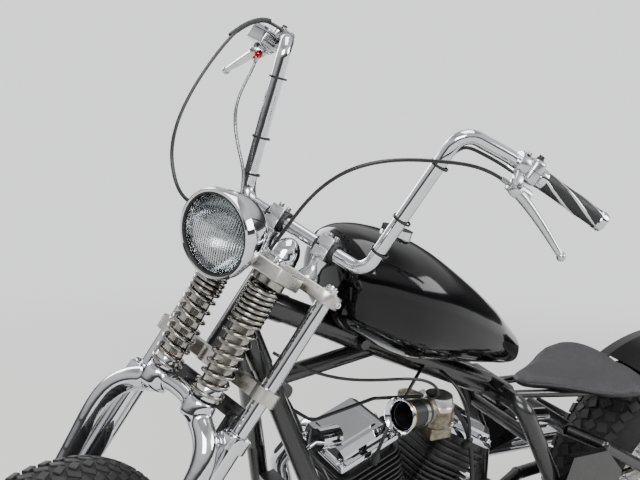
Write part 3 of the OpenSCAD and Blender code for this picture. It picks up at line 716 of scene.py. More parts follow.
@dataclass
class Clamps(SubAssembly):
    """Top clamp and spring plate, with their bolts, and the risers on top."""

    leg_y: float = 118
    leg_x: float = -12
    spring_x: float = 77
    spring_y: float = 52
    bar_x: float = -23
    bar_z: float = 80
    riser_y: float = 60

    def bridge(self, back: float, front: float, end_r: float, low: float, high: float) -> Thing:
        """A cast bridge between the legs with round ends."""
        outline = [(self.leg_x + end_r * math.cos(a), self.leg_y + end_r * math.sin(a))
                   for a in (math.radians(20 * k) for k in range(10))]
        left = [(front, self.leg_y - 20), *outline, (back, self.leg_y - 20)]
        middle = [(back - 8, 34), (back - 14, 12)]
        half = left + middle
        loop = half + [(x, -y) for x, y in reversed(half)]
        return plate(loop, low, high, 3)

    def top(self) -> list[Thing]:
        """The top clamp with the legs' cap bolts."""
        clamp = self.bridge(-32, 14, 26, -4, 20)
        bolt = shifted(hex_nut(26, 9), self.leg_x, self.leg_y, 20.2)
        pinch = moved(cap_screw(11, 7), facing((self.leg_x + 4, self.leg_y + 25, 8), (0.5, 1, 0)))
        return coated([clamp], Paint.CAST) + mirrored(coated([bolt, pinch], Paint.CHROME))

    def plate_pieces(self) -> list[Thing]:
        """The bar across the springs' heads, with washers, bolts and the headlamp's lug."""
        bar = block((84, 172, 26), (70, 0, -1), 3.5, 4)
        head = turned([(31, -26), (31, -15), (29, -13)], 56)
        bolt = shifted(cap_screw(20, 11), 0, 0, 12)
        lug = block((14, 30, 11), (114.6, 0, -8.6), 2)
        seats = [shifted(p, self.spring_x, self.spring_y, 0) for p in (head, bolt)]
        post = shifted(turned([(4, -34), (9, -32), (9, -25), (6, -24), (6, -14)], 32), 114, 0, 0)
        # the spring heads take the springs' darker plating: painted shade and dust
        return (coated([bar, lug], Paint.CAST) + mirrored(coated([seats[0]], Paint.SMOKED))
                + mirrored(coated([seats[1]], Paint.CHROME)) + coated([post], Paint.CHROME))

    def riser(self) -> list[Thing]:
        """One riser: a flared foot, a split square clamp, rubber bushes and two bolts."""
        foot = turned([(22, 20.3), (21, 25), (16, 33), (14, 45), (17, 58)], 40)
        shell = [block((40, 30, 20), (0, 0, self.bar_z - 11.4), 2), block(
            (40, 30, 20), (0, 0, self.bar_z + 11.4), 2)]
        bolts = [shifted(cap_screw(10, 7), x, 0, self.bar_z + 21.3) for x in (-14.5, 14.5)]
        bush = moved(turned([(17, -4), (17.6, -2), (17.6, 2), (17, 4)], 40),
                     Matrix.Translation((0, 17.5, self.bar_z)) @ Matrix.Rotation(
                         math.pi / 2, 4, "X"))
        other = copied(bush, Matrix.Translation((0, -35, 0)))
        parts = coated([foot] + shell, Paint.LACQUERED) + coated(bolts, Paint.STEEL)
        parts += coated([bush, other], Paint.RUBBER)
        return [shifted(p, self.bar_x, self.riser_y, 0) for p in parts]

    def dome(self) -> Thing:
        """The bullet over the stem nut."""
        return shifted(turned([(28, 0), (28, 7), (27, 9), (27, 15), (24.5, 24), (20, 32),
                               (13.5, 39), (6.5, 43), (2, 44)], 56), -12, 0, 20.3)

    def build(self) -> None:
        """Models the top clamp, the spring bar, the risers and the bullet."""
        self.hand_in("top_bridge", self.top(), "cast_alloy", "top_clamp")
        self.hand_in("spring_bar", self.plate_pieces(), "cast_alloy", "spring_plate")
        self.hand_in("risers", mirrored(self.riser()), "cast_alloy", "bar_risers")
        self.hand_in("stem_bullet", [dressed(self.dome(), Paint.CHROME)], "chrome", "stem_cap",
                     angle=50)


@dataclass
class Headlamp(SubAssembly):
    """The round headlamp: bucket, rim, fluted glass, bowl and bulb, modelled along its beam."""

    ring: float = 75.5
    glass: float = 66
    dome: float = 184
    flute: float = 4.6

    def bucket(self) -> list[Thing]:
        """The shell and its black seal."""
        shell = turned([
            (1, -96), (14, -95), (26, -91.5), (38, -85), (49, -75.5), (58, -63), (65, -47),
            (70, -30), (72.5, -17), (73, -13), (self.ring, -12), (self.ring, 1), (74.5, 4),
            (72, 5.5), (self.glass + 2.5, 4), (self.glass + 1, -4), (self.glass - 2, -12),
            (60, -40), (44, -72), (20, -89), (1, -92)], 96)
        seal = turned([(self.glass - 1, 2.5), (self.glass + 1, 5), (self.glass + 3.4, 4.6),
                       (self.glass + 3.4, 1), (self.glass - 1, -1)], 96, ring=True)
        return [dressed(shell, Paint.CHROME), dressed(seal, Paint.RUBBER)]

    def fluted_glass(self) -> Thing:
        """The lens: a shallow dome with upright flutes moulded in it."""
        clear()
        bpy.ops.mesh.primitive_grid_add(x_subdivisions=30, y_subdivisions=168, size=2 * self.glass)
        lens = settle()
        for vertex in lens.data.vertices:
            x, y = vertex.co.x, vertex.co.y
            r = math.hypot(x, y)
            if r > self.glass - 0.4:
                x, y = (c * (self.glass - 0.4) / r for c in (x, y))
                r = self.glass - 0.4
            rise = math.sqrt(self.dome ** 2 - r ** 2) - self.dome + 8
            vertex.co = (x, y, rise + 0.55 * math.cos(math.tau * y / self.flute))
        modify(lens, "WELD", merge_threshold=0.25)
        return modify(lens, "SOLIDIFY", thickness=3, offset=-1)

    def bowl(self) -> list[Thing]:
        """The reflector and the capped bulb in it."""
        mirror = turned([(64, -8), (58, -24), (49, -38), (37, -50), (24, -58), (12, -61.5),
                         (12, -64), (26, -61), (40, -53), (52, -40), (61, -25), (65.5, -9)],
                        72, ring=True)
        cap = turned([(2, -18), (8, -20), (9.5, -25), (9.5, -37), (8, -38)], 32)
        stem = turned([(7, -38), (7, -62)], 24)
        return [dressed(mirror, Paint.REFLECTOR), dressed(cap, Paint.REFLECTOR),
                dressed(stem, Paint.STEEL)]

    def build(self) -> None:
        """Models the lamp and its glass."""
        self.hand_in("lamp_bucket", self.bucket() + self.bowl(), "chrome", "headlight", angle=40)
        self.hand_in("lamp_glass", [dressed(self.fluted_glass(), Paint.GLASS)], "glass",
                     "headlight_lens", angle=60)

# ---------- bar, hand controls and cables ----------
GRIP_A = Vector((-20, 262, 376))
GRIP_B = Vector((-172, 403, 378))
GRIP_WAY = (GRIP_B - GRIP_A).normalized()
GRIP = Matrix.Translation(GRIP_A) @ Matrix((
    Vector((0, 0, -1)).cross(GRIP_WAY).normalized(), (0, 0, -1), GRIP_WAY)).transposed().to_4x4()


@dataclass
class Bars(SubAssembly):
    """The bent chrome bar with its wiring, and the two grips."""

    bar: float = 25.4
    bend: float = 34
    wire: float = 6
    grip: float = 35
    start: float = 62.5
    end: float = 215.5

    def tube(self) -> Thing:
        """The bar in one bent run."""
        half = [tuple(GRIP_B), tuple(GRIP_A), (59, 199, 364), (-23, 148, 80)]
        route = half + [(x, -y, z) for x, y, z in reversed(half)]
        return dressed(swept(bends(route, self.bend, 10), self.bar, 40), Paint.CHROME)

    def wiring(self) -> list[Thing]:
        """One side's loom down the back of the bar, with its ties."""
        route = [(-50, 288, 358), (-20, 262, 359), (20, 230, 352), (40, 204, 348), (30, 191, 314),
                 (19, 184, 283), (-5, 168, 198), (-29, 154, 116), (-42, 138, 84), (-50, 100, 82),
                 (-52, 60, 60), (-46, 45, 24), (-28, 42, 8)]
        loom = dressed(swept(route, self.wire, 12, smooth=True), Paint.SHEATH)
        tie = turned([(16.2, -2), (17.4, -2), (17.4, 2), (16.2, 2)], 40, ring=True)
        ties = [copied(tie, facing(p, (-0.273, -0.17, -0.947)))
                for p in ((37, 187, 298), (6, 168, 190), (-13, 156, 124))]
        bpy.data.objects.remove(tie)
        return [loom] + coated(ties, Paint.SHEATH)

    def hand_grip(self) -> list[Thing]:
        """A rubber grip set in chrome: end collars and spiral strips."""
        core = turned([(13, self.start + 2), (16.6, self.start + 4), (16.8, 140),
                       (16.6, self.end - 6), (13, self.end - 4)], 48)
        inner = turned([(13.1, self.start), (18, self.start), (18.4, self.start + 3),
                        (17.8, self.start + 12), (16, self.start + 14)], 48)
        outer = turned([(15.5, self.end - 17), (17.8, self.end - 14), (18.4, self.end - 4),
                        (17.5, self.end - 0.5), (10, self.end), (9, self.end - 1)], 48)
        strips = []
        for k in range(4):
            turn = [math.tau * k / 4 + 2.6 * n / 24 for n in range(25)]
            run = [(13.9 * math.cos(a), 13.9 * math.sin(a), self.start + 10 + 131 * n / 24)
                   for n, a in enumerate(turn)]
            strips.append(swept(run, 8.2, 12, taper=[0.75 + 0.25 * math.sin(math.pi * n / 24)
                                                    for n in range(25)]))
        parts = [dressed(core, Paint.RUBBER)] + coated([inner, outer] + strips, Paint.CHROME)
        return [moved(p, GRIP) for p in parts]

    def build(self) -> None:
        """Models the bar, its wiring and both grips."""
        self.hand_in("chrome_bar", [self.tube()], "chrome", "handlebar", angle=50)
        self.hand_in("bar_wiring", mirrored(self.wiring()), "rubber", angle=50)
        self.hand_in("grip_left", self.hand_grip(), "rubber", "left_grip")
        self.hand_in("grip_right", [moved(p, MIRROR) for p in self.hand_grip()], "rubber",
                     "right_grip")


@dataclass
class HandControls(SubAssembly):
    """Clutch and brake levers with their clamps, switch blocks and the brake's reservoir."""

    perch_x: float = 25.5
    perch_y: float = 42

    def clamp(self) -> list[Thing]:
        """The split clamp, switch block, neck and perch, along the grip's axis."""
        ring = turned([(13.2, 13), (20.5, 13), (21, 14), (21, 33), (20.5, 34), (13.2, 34)], 48,
                      ring=True)
        switch = block((44, 46, 25), (2, 0, 46.5), 8, 4)
        neck = block((15, 30, 19), (0, 0, 0), 4)
        neck = moved(neck, Matrix.Translation((15, 25, 27)) @ Matrix.Rotation(-0.54, 4, "Z"))
        perch = shifted(turned([(9, 12.5), (11.5, 14), (12, 20), (12, 50), (11, 56), (8, 58)], 32),
                        self.perch_x, self.perch_y, 0)
        boss = moved(turned([(11.5, -9), (12.5, -7), (12.5, 7), (11.5, 9)], 32), facing(
            (self.perch_x + 6, self.perch_y + 3, 27), (0.6, -0.8, 0)))
        return coated([ring, switch, neck, perch, boss], Paint.LACQUERED)

    def small(self) -> list[Thing]:
        """Pivot bolt, clamp screws and the black buttons."""
        pivot = moved(hex_nut(11, 5), facing((self.perch_x + 11.5, self.perch_y - 4.2, 27),
                                             (0.6, -0.8, 0)))
        screws = [moved(cap_screw(8, 5), facing((x, -19.5, 24), (0, -1, 0))) for x in (-9, 9)]
        seam = block((44.6, 0.9, 21), (2, 0, 46.5), 0.2, 1)
        button = moved(turned([(7, -1), (7, 3), (5.6, 4), (5.2, 8), (4, 9)], 28), facing(
            (8, -23, 46), (0.2, -1, 0)))
        slider = block((10, 6, 8), (-13, -21.5, 46), 1.5)
        return coated([pivot] + screws, Paint.STEEL) + coated([seam, button, slider],
                                                              Paint.PLASTIC)

    def lever(self) -> list[Thing]:
        """The flat alloy lever, curving out to its ball end."""
        tip = (50.5, 96.5, 154.9)
        route = [(31, 45, 20), (33, 49, 42), (37, 60, 74), (43, 76, 112), (48, 89, 138), tip]
        arm = swept(route, 17, 20, smooth=True, taper=(1.1, 1.15, 1, 0.85, 0.72, 0.65))
        clear()
        bpy.ops.mesh.primitive_uv_sphere_add(segments=32, ring_count=20, radius=8.4, location=tip)
        return coated([arm, settle()], Paint.LACQUERED)

    def reservoir(self) -> list[Thing]:
        """The brake's square fluid box on the right, its lid and screws, and the red union."""
        at = GRIP_A + (GRIP_B - GRIP_A) * 0.14 + Vector((37, 16, -16))
        body = block((46, 42, 25), at + Vector((0, 0, -4)), 4, 4)
        lid = block((50, 46, 8), at + Vector((0, 0, 12.5)), 2.5, 3)
        screws = [moved(cap_screw(7, 1.6), Matrix.Translation(at + Vector((x, 0, 15.4))))
                  for x in (-18, 18)]
        union = moved(turned([(6.5, 0), (7.5, 2), (7.5, 10), (6, 12), (6, 20), (4.5, 22)], 24),
                      facing((-11.5, 290, 331), (0.55, -0.35, -0.75)))
        parts = coated([body, lid], Paint.LACQUERED) + coated(screws, Paint.STEEL)
        return parts + coated([union], Paint.RED_METAL)

    def build(self) -> None:
        """Models both sides."""
        hand = [moved(p, GRIP) for p in self.clamp() + self.small() + self.lever()]
        other = [copied(p, MIRROR) for p in hand]
        other += [moved(p, MIRROR) for p in self.reservoir()]
        self.hand_in("clutch_lever_set", hand, "black_plastic", "left_controls")
        self.hand_in("brake_lever_set", other, "black_plastic", "right_controls")


@dataclass
class BarCables(SubAssembly):
    """Clutch cable, throttle cable with its thick sleeve, and the braided brake hose."""

    d: float = 6.4

    def build(self) -> None:
        """Models the three runs from the levers to the spring bar."""
        clutch = [(-13, 289, 334), (4, 273, 334), (34, 247, 330), (84, 203, 296), (134, 155, 256),
                  (158, 105, 200), (137, 65, 130), (99, 40, 66), (90, 30, 34), (90, 30, 12)]
        brake = [(-4, -284, 322), (3, -277, 308), (8, -268, 296), (35, -245, 244), (53, -215, 196),
                 (37, -175, 147), (23, -140, 116), (50, -100, 60), (88, -62, 38), (90, -60, 12)]
        gas = [(-18, -277, 391), (16, -289, 389), (53, -299, 377), (91, -290, 317),
               (151, -250, 222), (190, -212, 140), (204, -178, 85), (200, -150, 50),
               (181, -110, 12), (122, -80, 34), (96, -70, 30), (95, -70, 12)]
        runs = coated([swept(clutch, self.d, 14, smooth=True), swept(
            gas, self.d, 14, smooth=True)], Paint.SHEATH)
        runs.append(dressed(swept(gas[1:4], 10, 14, smooth=True), Paint.RUBBER))
        runs.append(dressed(swept(brake, self.d, 14, smooth=True), Paint.BRAIDED))
        ends = [turned([(4.4, 0), (4.4, 14), (3.6, 16)], 20) for _ in range(4)]
        for end, (p, q) in zip(ends, ((clutch[0], clutch[1]), (brake[0], brake[1]),
                                      (clutch[-1], clutch[-2]), (gas[-1], gas[-2]))):
            runs.append(dressed(moved(end, between(p, q)), Paint.STEEL))
        self.hand_in("bar_cables", runs, "rubber", "control_cables", angle=50)


# ---------- wheels ----------
@dataclass
class Tyre(SubAssembly):
    """A block-tread tyre, modelled about its own axis."""

    radius: float
    half: float
    bead: float
    name: str
    node: str
    pitch: float = 33
    groove: float = 6.5

    def carcass(self) -> Thing:
        """The tyre under its tread, with rounded walls."""
        side = [(self.bead, self.half * 0.62), (self.bead + 5, self.half * 0.76)]
        for k in range(9):
            a = math.radians(-22 + 14 * k)
            height = (self.radius - self.groove - self.bead) / 2
            side.append((self.bead + height * 1.02 + height * math.sin(a),
                         (self.half - 2) * math.cos(a) ** 0.75))
        side = [p for p in side if p[1] > self.half * 0.3] + [(self.radius - self.groove, 0)]
        other = [(r, -y) for r, y in reversed(side[:-1])]
        # the carcass shows in the grooves between the blocks and takes the blacker painted-shade
        # rubber
        return dressed(turned(side + other, 160, ring=True), Paint.GROOVE)

    def row(self, y: float, size: Point, skew: float, lag: float) -> list[Thing]:
        """One row of tread blocks round the crown."""
        count = round(math.tau * self.radius / self.pitch)
        top = self.radius - 2.8 - (y / self.half) ** 2 * self.half * 0.34
        lean = math.atan(2 * y / self.half * 0.34)
        tile = block(size, (0, 0, 0), 1.2, 1)
        place = (Matrix.Rotation(lag * math.tau / count, 4, "Z") @ Matrix.Translation(
            (top - size[0] / 2, 0, y)) @ Matrix.Rotation(-lean, 4, "Y") @ Matrix.Rotation(
                skew, 4, "X"))
        return ring_of(moved(tile, place), count)

    def build(self) -> None:
        """Models the tyre and puts it on its wheel."""
        wide = self.half / 55
        rows = []
        for y, size, skew, lag in (
                (9 * wide, (12, 24, 13 * wide), 0.5, 0.0), (-9 * wide, (12, 24, 13 * wide), -0.5, 0.5),
                (26 * wide, (12, 23, 14 * wide), -0.45, 0.3),
                (-26 * wide, (12, 23, 14 * wide), 0.45, 0.8),
                (42 * wide, (11, 25, 12 * wide), 0.3, 0.0),
                (-42 * wide, (11, 25, 12 * wide), -0.3, 0.5)):
            rows += self.row(y, size, skew, lag)
        parts = [self.carcass()] + coated(rows, Paint.TYRE)
        self.hand_in(self.name, parts, "tyre", self.node, angle=30)


# ---------- tank, frame and engine ----------
def moulded(stations: Sequence[Point], power: float = 2.3, rings: int = 64) -> Thing:
    """A smooth closed body along X.

    Args:
        stations: (x, half width, low, high), in order from one end to the other.
        power: how square its cross-sections are; 2 is an ellipse.
        rings: rings of faces along it.

    Returns:
        The closed mesh.
    """
    clear()
    bpy.ops.mesh.primitive_uv_sphere_add(segments=72, ring_count=rings, radius=1,
                                         rotation=(0, math.pi / 2, 0))
    thing = settle()
    first, last = stations[0][0], stations[-1][0]
    for vertex in thing.data.vertices:
        a, b, c = vertex.co
        round_r = math.hypot(b, c)
        x = (first + last) / 2 + (last - first) / 2 * max(-1, min(1, a))
        pair = next(((p, q) for p, q in zip(stations, stations[1:])
                     if p[0] <= x + 1e-6 and x <= q[0] + 1e-6), (stations[-2], stations[-1]))
        t = (x - pair[0][0]) / (pair[1][0] - pair[0][0])
        wide, low, high = (p + (q - p) * t for p, q in zip(pair[0][1:], pair[1][1:]))
        if round_r > 1e-5:
            b, c = (math.copysign(abs(v / round_r) ** (2 / power), v) for v in (b, c))
        vertex.co = (x, wide * b, (low + high) / 2 + (high - low) / 2 * c)
    modify(thing, "SMOOTH", factor=0.5, iterations=9)
    return thing


@dataclass
class Tank(SubAssembly):
    """The teardrop fuel tank over the spine tube."""

    spine: tuple[Point, Point] = ((1184.6, 0, 886.2), (600, 0, 640))
    tunnel: float = 76

    def shell(self) -> Thing:
        """The tank's body with the tunnel for the spine cut out of it."""
        body = moulded([
            (556, 4, 722, 736), (562, 30, 704, 752), (580, 52, 698, 772), (620, 74, 704, 806),
            (670, 98, 716, 850), (730, 118, 728, 895), (790, 134, 740, 936), (840, 144, 750, 968),
            (885, 150, 758, 990), (930, 149, 778, 1004), (970, 140, 800, 1012),
            (1005, 126, 818, 1014), (1030, 112, 830, 1008), (1046, 92, 846, 996),
            (1055, 60, 868, 974), (1058, 8, 905, 935)])
        way = between(*self.spine)
        tube = moved(turned([(self.tunnel / 2, -60), (self.tunnel / 2, 760)], 48), way)
        slot = moved(block((self.tunnel, 260, 900), (0, -130, 340), 0.01, 1), way)
        for cutter in (tube, slot):
            modify(body, "BOOLEAN", operation="DIFFERENCE", solver="EXACT", object=cutter)
            bpy.data.objects.remove(cutter)
        return dressed(body, Paint.ENAMEL)

    def build(self) -> None:
        """Models the tank."""
        self.hand_in("tank_shell", [self.shell()], "black_paint", "fuel_tank", angle=40)


@dataclass
class Cradle(SubAssembly):
    """The frame's two bent lower tubes, from the down tube round to the spine."""

    d: float = 38
    bend: float = 30

    def build(self) -> None:
        """Models both tubes."""
        top, knee = Vector((1212.4, 14, 839.9)), Vector((1085, 128, 520))
        start = top + (knee - top).normalized() * 72.2
        route = [tuple(start), tuple(knee), (1010, 128, 205), (930, 128, 165), (520, 128, 165),
                 (440, 128, 235), (468, 128, 430), (600, 112, 640), (600, 54.3, 640)]
        left = dressed(swept(bends(route, self.bend, 10), self.d, 40), Paint.POWDER)
        right = copied(left, MIRROR)
        self.hand_in("cradle_tube_left", [left], "black_paint", "left_cradle", angle=50)
        self.hand_in("cradle_tube_right", [right], "black_paint", "right_cradle", angle=50)


@dataclass
class Engine(SubAssembly):
    """Polished head covers."""

    crank: Point = (830, 0, 312)

    def head(self, side: int) -> list[Thing]:
        """A head cover: a flange with screws under a faceted lid."""
        flange = block((138, 154, 13), (0, 0, 287), 4, 2)
        lid = block((126, 142, 28), (0, 0, 307), 11, 1)
        crown = block((84, 100, 6), (0, 0, 321), 2.5, 1)
        screws = [shifted(cap_screw(12, 7), x, y, 293.6) for x, y in (
            (62, 68), (62, -68), (-62, 68), (-62, -68), (66, 0), (-66, 0))]
        parts = coated([flange, lid, crown] + screws, Paint.CHROME)
        turn = Matrix.Translation(self.crank) @ Matrix.Rotation(
            math.radians(side * 26 - 2), 4, "Y")
        return [moved(p, turn) for p in parts]

    def build(self) -> None:
        """Models the engine's pieces."""
        self.hand_in("head_lid_front", self.head(1), "chrome", "front_head_cover")
        self.hand_in("head_lid_rear", self.head(-1), "chrome", "rear_head_cover")

@dataclass
class Intake(SubAssembly):
    """The carburettor's body, float bowl and round cap, and its funnel with a banded ring."""

    mouth: Point = (913, 117, 672.7)
    way: Point = (0.961, 0.2396, 0.139)

    def carburettor(self) -> list[Thing]:
        """Mixing body, float bowl, round cap, tee and spigot."""
        body = turned([(30, 628), (32, 631), (32, 662), (30, 666)], 48)
        bowl = block((52, 54, 26), (0, 0, 617), 5, 3)
        flats = block((64, 40, 26), (0, 0, 646), 4, 2)
        cap = turned([(33, 666), (33, 673), (30, 677), (27, 691), (20, 694), (12, 695)], 48)
        screws = [shifted(cap_screw(7, 4), 29 * math.cos(a), 29 * math.sin(a), 674)
                  for a in (0.8, 2.37, 3.94, 5.5)]
        parts = coated([body, bowl, flats], Paint.ZINC) + coated([cap], Paint.CAST)
        parts = [shifted(p, 812, 92, 0) for p in parts + coated(screws, Paint.STEEL)]
        tee = moved(turned([(23.5, -10), (23.5, 40)], 40), facing((812, 30, 640), (0, 1, 0)))
        stack = shifted(turned([(22, 580), (23, 584), (23, 650)], 40), 812, 0, 0)
        runner = moved(turned([(20, 0), (20, 86)], 40), between((778.2, 0, 585), (864.2, 0, 585)))
        spigot = moved(turned([(25, -92), (25, -70), (23, -68), (23, -62.3)], 40),
                       facing(self.mouth, self.way))
        return parts + coated([tee, stack, runner, spigot], Paint.ZINC)

    def funnel(self) -> list[Thing]:
        """The black sleeve with its hose clip, and the bright banded ring at the mouth."""
        sleeve = turned([(22.5, -61.8), (26, -61.8), (27, -12), (27, -4), (24, -4)], 56, ring=True)
        clip = turned([(26.4, -52), (27.6, -52), (27.6, -43), (26.4, -43)], 56, ring=True)
        ring = turned([(24.6, -6), (28.5, -6), (29.5, -4), (29.5, -1), (28.7, 0), (31.5, 2),
                       (31.5, 5), (30.6, 6), (34, 9), (36, 11), (36, 13), (34.5, 14), (30.5, 11.5),
                       (26.5, 5)], 72, ring=True)
        band = turned([(29.6, -3.6), (30.4, -3), (30.4, -2), (29.6, -1.4)], 72, ring=True)
        parts = [dressed(sleeve, Paint.PLASTIC), dressed(clip, Paint.STEEL),
                 dressed(ring, Paint.CHROME), dressed(band, Paint.BRASS)]
        return [moved(p, facing(self.mouth, self.way)) for p in parts]

    def build(self) -> None:
        """Models both pieces."""
        self.hand_in("carburettor_body", self.carburettor(), "cast_alloy", "carburettor")
        self.hand_in("intake_funnel", self.funnel(), "black_plastic", "air_funnel")


@dataclass
class EngineCovers(SubAssembly):
    """Polished side covers with their screws, and the two exhaust pipes."""

    face: float = 105.3

    def cover(self, radius: float, deep: float, screws: int) -> list[Thing]:
        """A stepped round cover, modelled up its own axis."""
        shell = turned([
            (radius, 0), (radius, deep * 0.5), (radius - 3, deep * 0.62), (radius - 12, deep * 0.7),
            (radius - 16, deep * 0.9), (radius - 20, deep), (radius * 0.52, deep),
            (radius * 0.5, deep - 4), (radius * 0.42, deep - 4), (radius * 0.4, deep - 1),
            (0, deep - 0.5)], 96)
        screw = shifted(cap_screw(11, 6), radius - 8.5, 0, deep * 0.62)
        return [shell] + ring_of(screw, screws)

    def left(self) -> list[Thing]:
        """The left cover over the generator, and the sprocket's cover behind it."""
        main = [moved(p, facing((830, self.face, 312), (0, 1, 0))) for p in self.cover(98, 34, 8)]
        small = [moved(p, facing((640, self.face, 318), (0, 1, 0))) for p in self.cover(62, 22, 5)]
        bridge = block((150, 21, 86), (712, self.face + 10.7, 315), 5, 3)
        return coated(main + small + [bridge], Paint.CHROME)

    def pipe(self, route: list[Point], d: float) -> list[Thing]:
        """A bent pipe with a rolled end, a clamp and a dark disc of painted shade in its mouth."""
        tube = swept(bends(route, 45, 10), d, 40)
        end = between(route[-1], Vector(route[-1]) * 2 - Vector(route[-2]))
        lip = moved(turned([(d / 2 - 3, -9), (d / 2 + 0.8, -9), (d / 2 + 0.8, -0.4),
                            (d / 2 - 2, -0.2)], 48, ring=True), end)
        # painted shade: the pipe is closed, so a dark disc just inside its end stands in for the
        # shaded hollow
        bore = moved(turned([(d / 2 - 3, -0.6), (d / 2 - 3, 0.2)], 40), end)
        collar = moved(turned([(d / 2, 4), (d / 2 + 3.6, 4), (d / 2 + 3.6, 14), (d / 2, 14)], 48,
                              ring=True), between(route[0], route[1]))
        return coated([tube, lip, collar], Paint.CHROME) + coated([bore], Paint.GROOVE)

    def build(self) -> None:
        """Models the left cover and both pipes."""
        self.hand_in("generator_cover", self.left(), "chrome", "left_engine_cover")
        front = [(945, -80.5, 530), (945, -150, 530), (985, -190, 430), (930, -196, 258),
                 (860, -196, 252), (420, -200, 250)]
        rear = [(712, -80.5, 522), (712, -150, 522), (650, -198, 440), (560, -205, 346),
                (40, -212, 330)]
        self.hand_in("pipe_front", self.pipe(front, 42), "chrome", "front_exhaust", angle=50)
        self.hand_in("pipe_rear", self.pipe(rear, 48), "chrome", "rear_exhaust", angle=50)


@dataclass
class Chain(SubAssembly):
    """The roller chain round both sprockets."""

    rear: Point = (0, 326.5)
    front: Point = (640, 318)
    rear_r: float = 110.7
    front_r: float = 44.5
    y: float = 100
    links: int = 112

    def route(self) -> list[Point]:
        """Points along the loop, half a millimetre apart or closer, in the bike's X and Z."""
        ax, az = self.rear
        bx, bz = self.front
        tilt = math.atan2(bz - az, bx - ax)
        wrap = math.acos((self.rear_r - self.front_r) / math.hypot(bx - ax, bz - az))
        arc = [(ax + self.rear_r * math.cos(a), az + self.rear_r * math.sin(a)) for a in (
            tilt + wrap + (math.tau - 2 * wrap) * k / 400 for k in range(401))]
        nose = [(bx + self.front_r * math.cos(a), bz + self.front_r * math.sin(a)) for a in (
            tilt - wrap + 2 * wrap * k / 200 for k in range(201))]
        loop = arc + nose
        loop.append(loop[0])
        return loop

    def places(self) -> list[tuple[Vector, Vector]]:
        """Each link's centre and the way it runs."""
        loop = [Vector((x, self.y, z)) for x, z in self.route()]
        total = sum((b - a).length for a, b in zip(loop, loop[1:]))
        gone, found, at = 0.0, [], 0.5
        for a, b in zip(loop, loop[1:]):
            run = (b - a).length
            while at < self.links and gone + run >= at * total / self.links:
                share = (at * total / self.links - gone) / run
                found.append((a.lerp(b, share), (b - a).normalized()))
                at += 1
            gone += run
        return found

    def build(self) -> None:
        """Models every link."""
        parts = []
        for n, (at, way) in enumerate(self.places()):
            side = Vector((0, 1, 0))
            turn = Matrix((way, side, way.cross(side))).transposed().to_4x4()
            gap = 3.6 if n % 2 else 2.4
            bars = [block((20.5, 1.1, 8.4), (0, s * gap, 0), 0.01, 1) for s in (-1, 1)]
            pin = moved(turned([(2.3, -4.4), (2.3, 4.4)], 8), Matrix.Translation(
                (7.9, 0, 0)) @ Matrix.Rotation(math.pi / 2, 4, "X"))
            roll = moved(turned([(4, -2), (4, 2)], 10), Matrix.Translation(
                (7.9, 0, 0)) @ Matrix.Rotation(math.pi / 2, 4, "X"))
            parts += [moved(p, Matrix.Translation(at) @ turn) for p in (*bars, pin, roll)]
        self.hand_in("roller_chain", coated(parts, Paint.CHAIN), "dark_steel", "drive_chain",
                     angle=40)

@dataclass
class Plumbing(SubAssembly):
    """Hoses, looms and plug leads round the engine, on the chassis."""

    def run(self, points: list[Point], d: float, paint: Paint) -> Thing:
        """One smooth hose or lead."""
        return dressed(swept(points, d, 14, smooth=True), paint)

    def clip(self, at: Point, way: Point, r: float) -> Thing:
        """A hose clip."""
        band = turned([(r, -5), (r + 1.4, -5), (r + 1.4, 5), (r, 5)], 40, ring=True)
        return dressed(moved(band, facing(at, way)), Paint.STEEL)

    def cooling(self) -> list[Thing]:
        """The radiator's upper and lower hoses, with a clip on the upper one."""
        upper = [(1010, 58, 335), (1000, 66, 380), (975, 72, 430), (955, 66, 470), (944, 52, 500)]
        lower = [(1008, -52, 150), (985, -60, 140), (950, -64, 170), (915, -58, 215)]
        return [self.run(upper, 27, Paint.RUBBER), self.run(lower, 27, Paint.RUBBER),
                self.clip((1004, 63, 362), (-10, 8, 45), 13.6)]

    def leads(self) -> list[Thing]:
        """Plug leads with their caps, from under the tank to the heads' left sides."""
        front = [(800, 18, 722), (850, 60, 716), (930, 92, 640), (948, 100, 590), (944, 86, 560)]
        rear = [(760, 18, 705), (742, 74, 690), (726, 104, 620), (722, 104, 580), (716, 84, 556)]
        parts = [self.run(r, 7, Paint.SHEATH) for r in (front, rear)]
        for lead in (front, rear):
            cap = turned([(7, 0), (9, 3), (9, 24), (6, 30), (4.5, 40)], 28)
            parts.append(dressed(moved(cap, between(lead[-1], lead[-2])), Paint.RUBBER))
        return parts

    def looms(self) -> list[Thing]:
        """The loom along the spine, one throttle cable down to the carburettor, a vent hose and one
        more sheathed line.
        """
        spine = [(1150, -34, 850), (1080, -38, 818), (980, -36, 770), (860, -36, 722),
                 (740, -34, 672), (660, -32, 640)]
        gas = [(1168, 40, 800), (1090, 62, 752), (980, 90, 738), (880, 98, 742), (824, 96, 716),
               (816, 94, 694)]
        vent = [(768, 60, 650), (740, 84, 640), (700, 96, 560), (690, 100, 470), (684, 96, 420)]
        pipe = [(1108, -60, 700), (1050, -84, 640), (1000, -80, 560), (986, -60, 470)]
        return [self.run(spine, 15, Paint.SHEATH), self.run(gas, 6, Paint.SHEATH),
                self.run(vent, 10, Paint.RUBBER), self.run(pipe, 9, Paint.SHEATH)]

    def build(self) -> None:
        """Models every run."""
        self.hand_in("engine_plumbing", self.cooling() + self.leads() + self.looms(), "rubber",
                     angle=50)


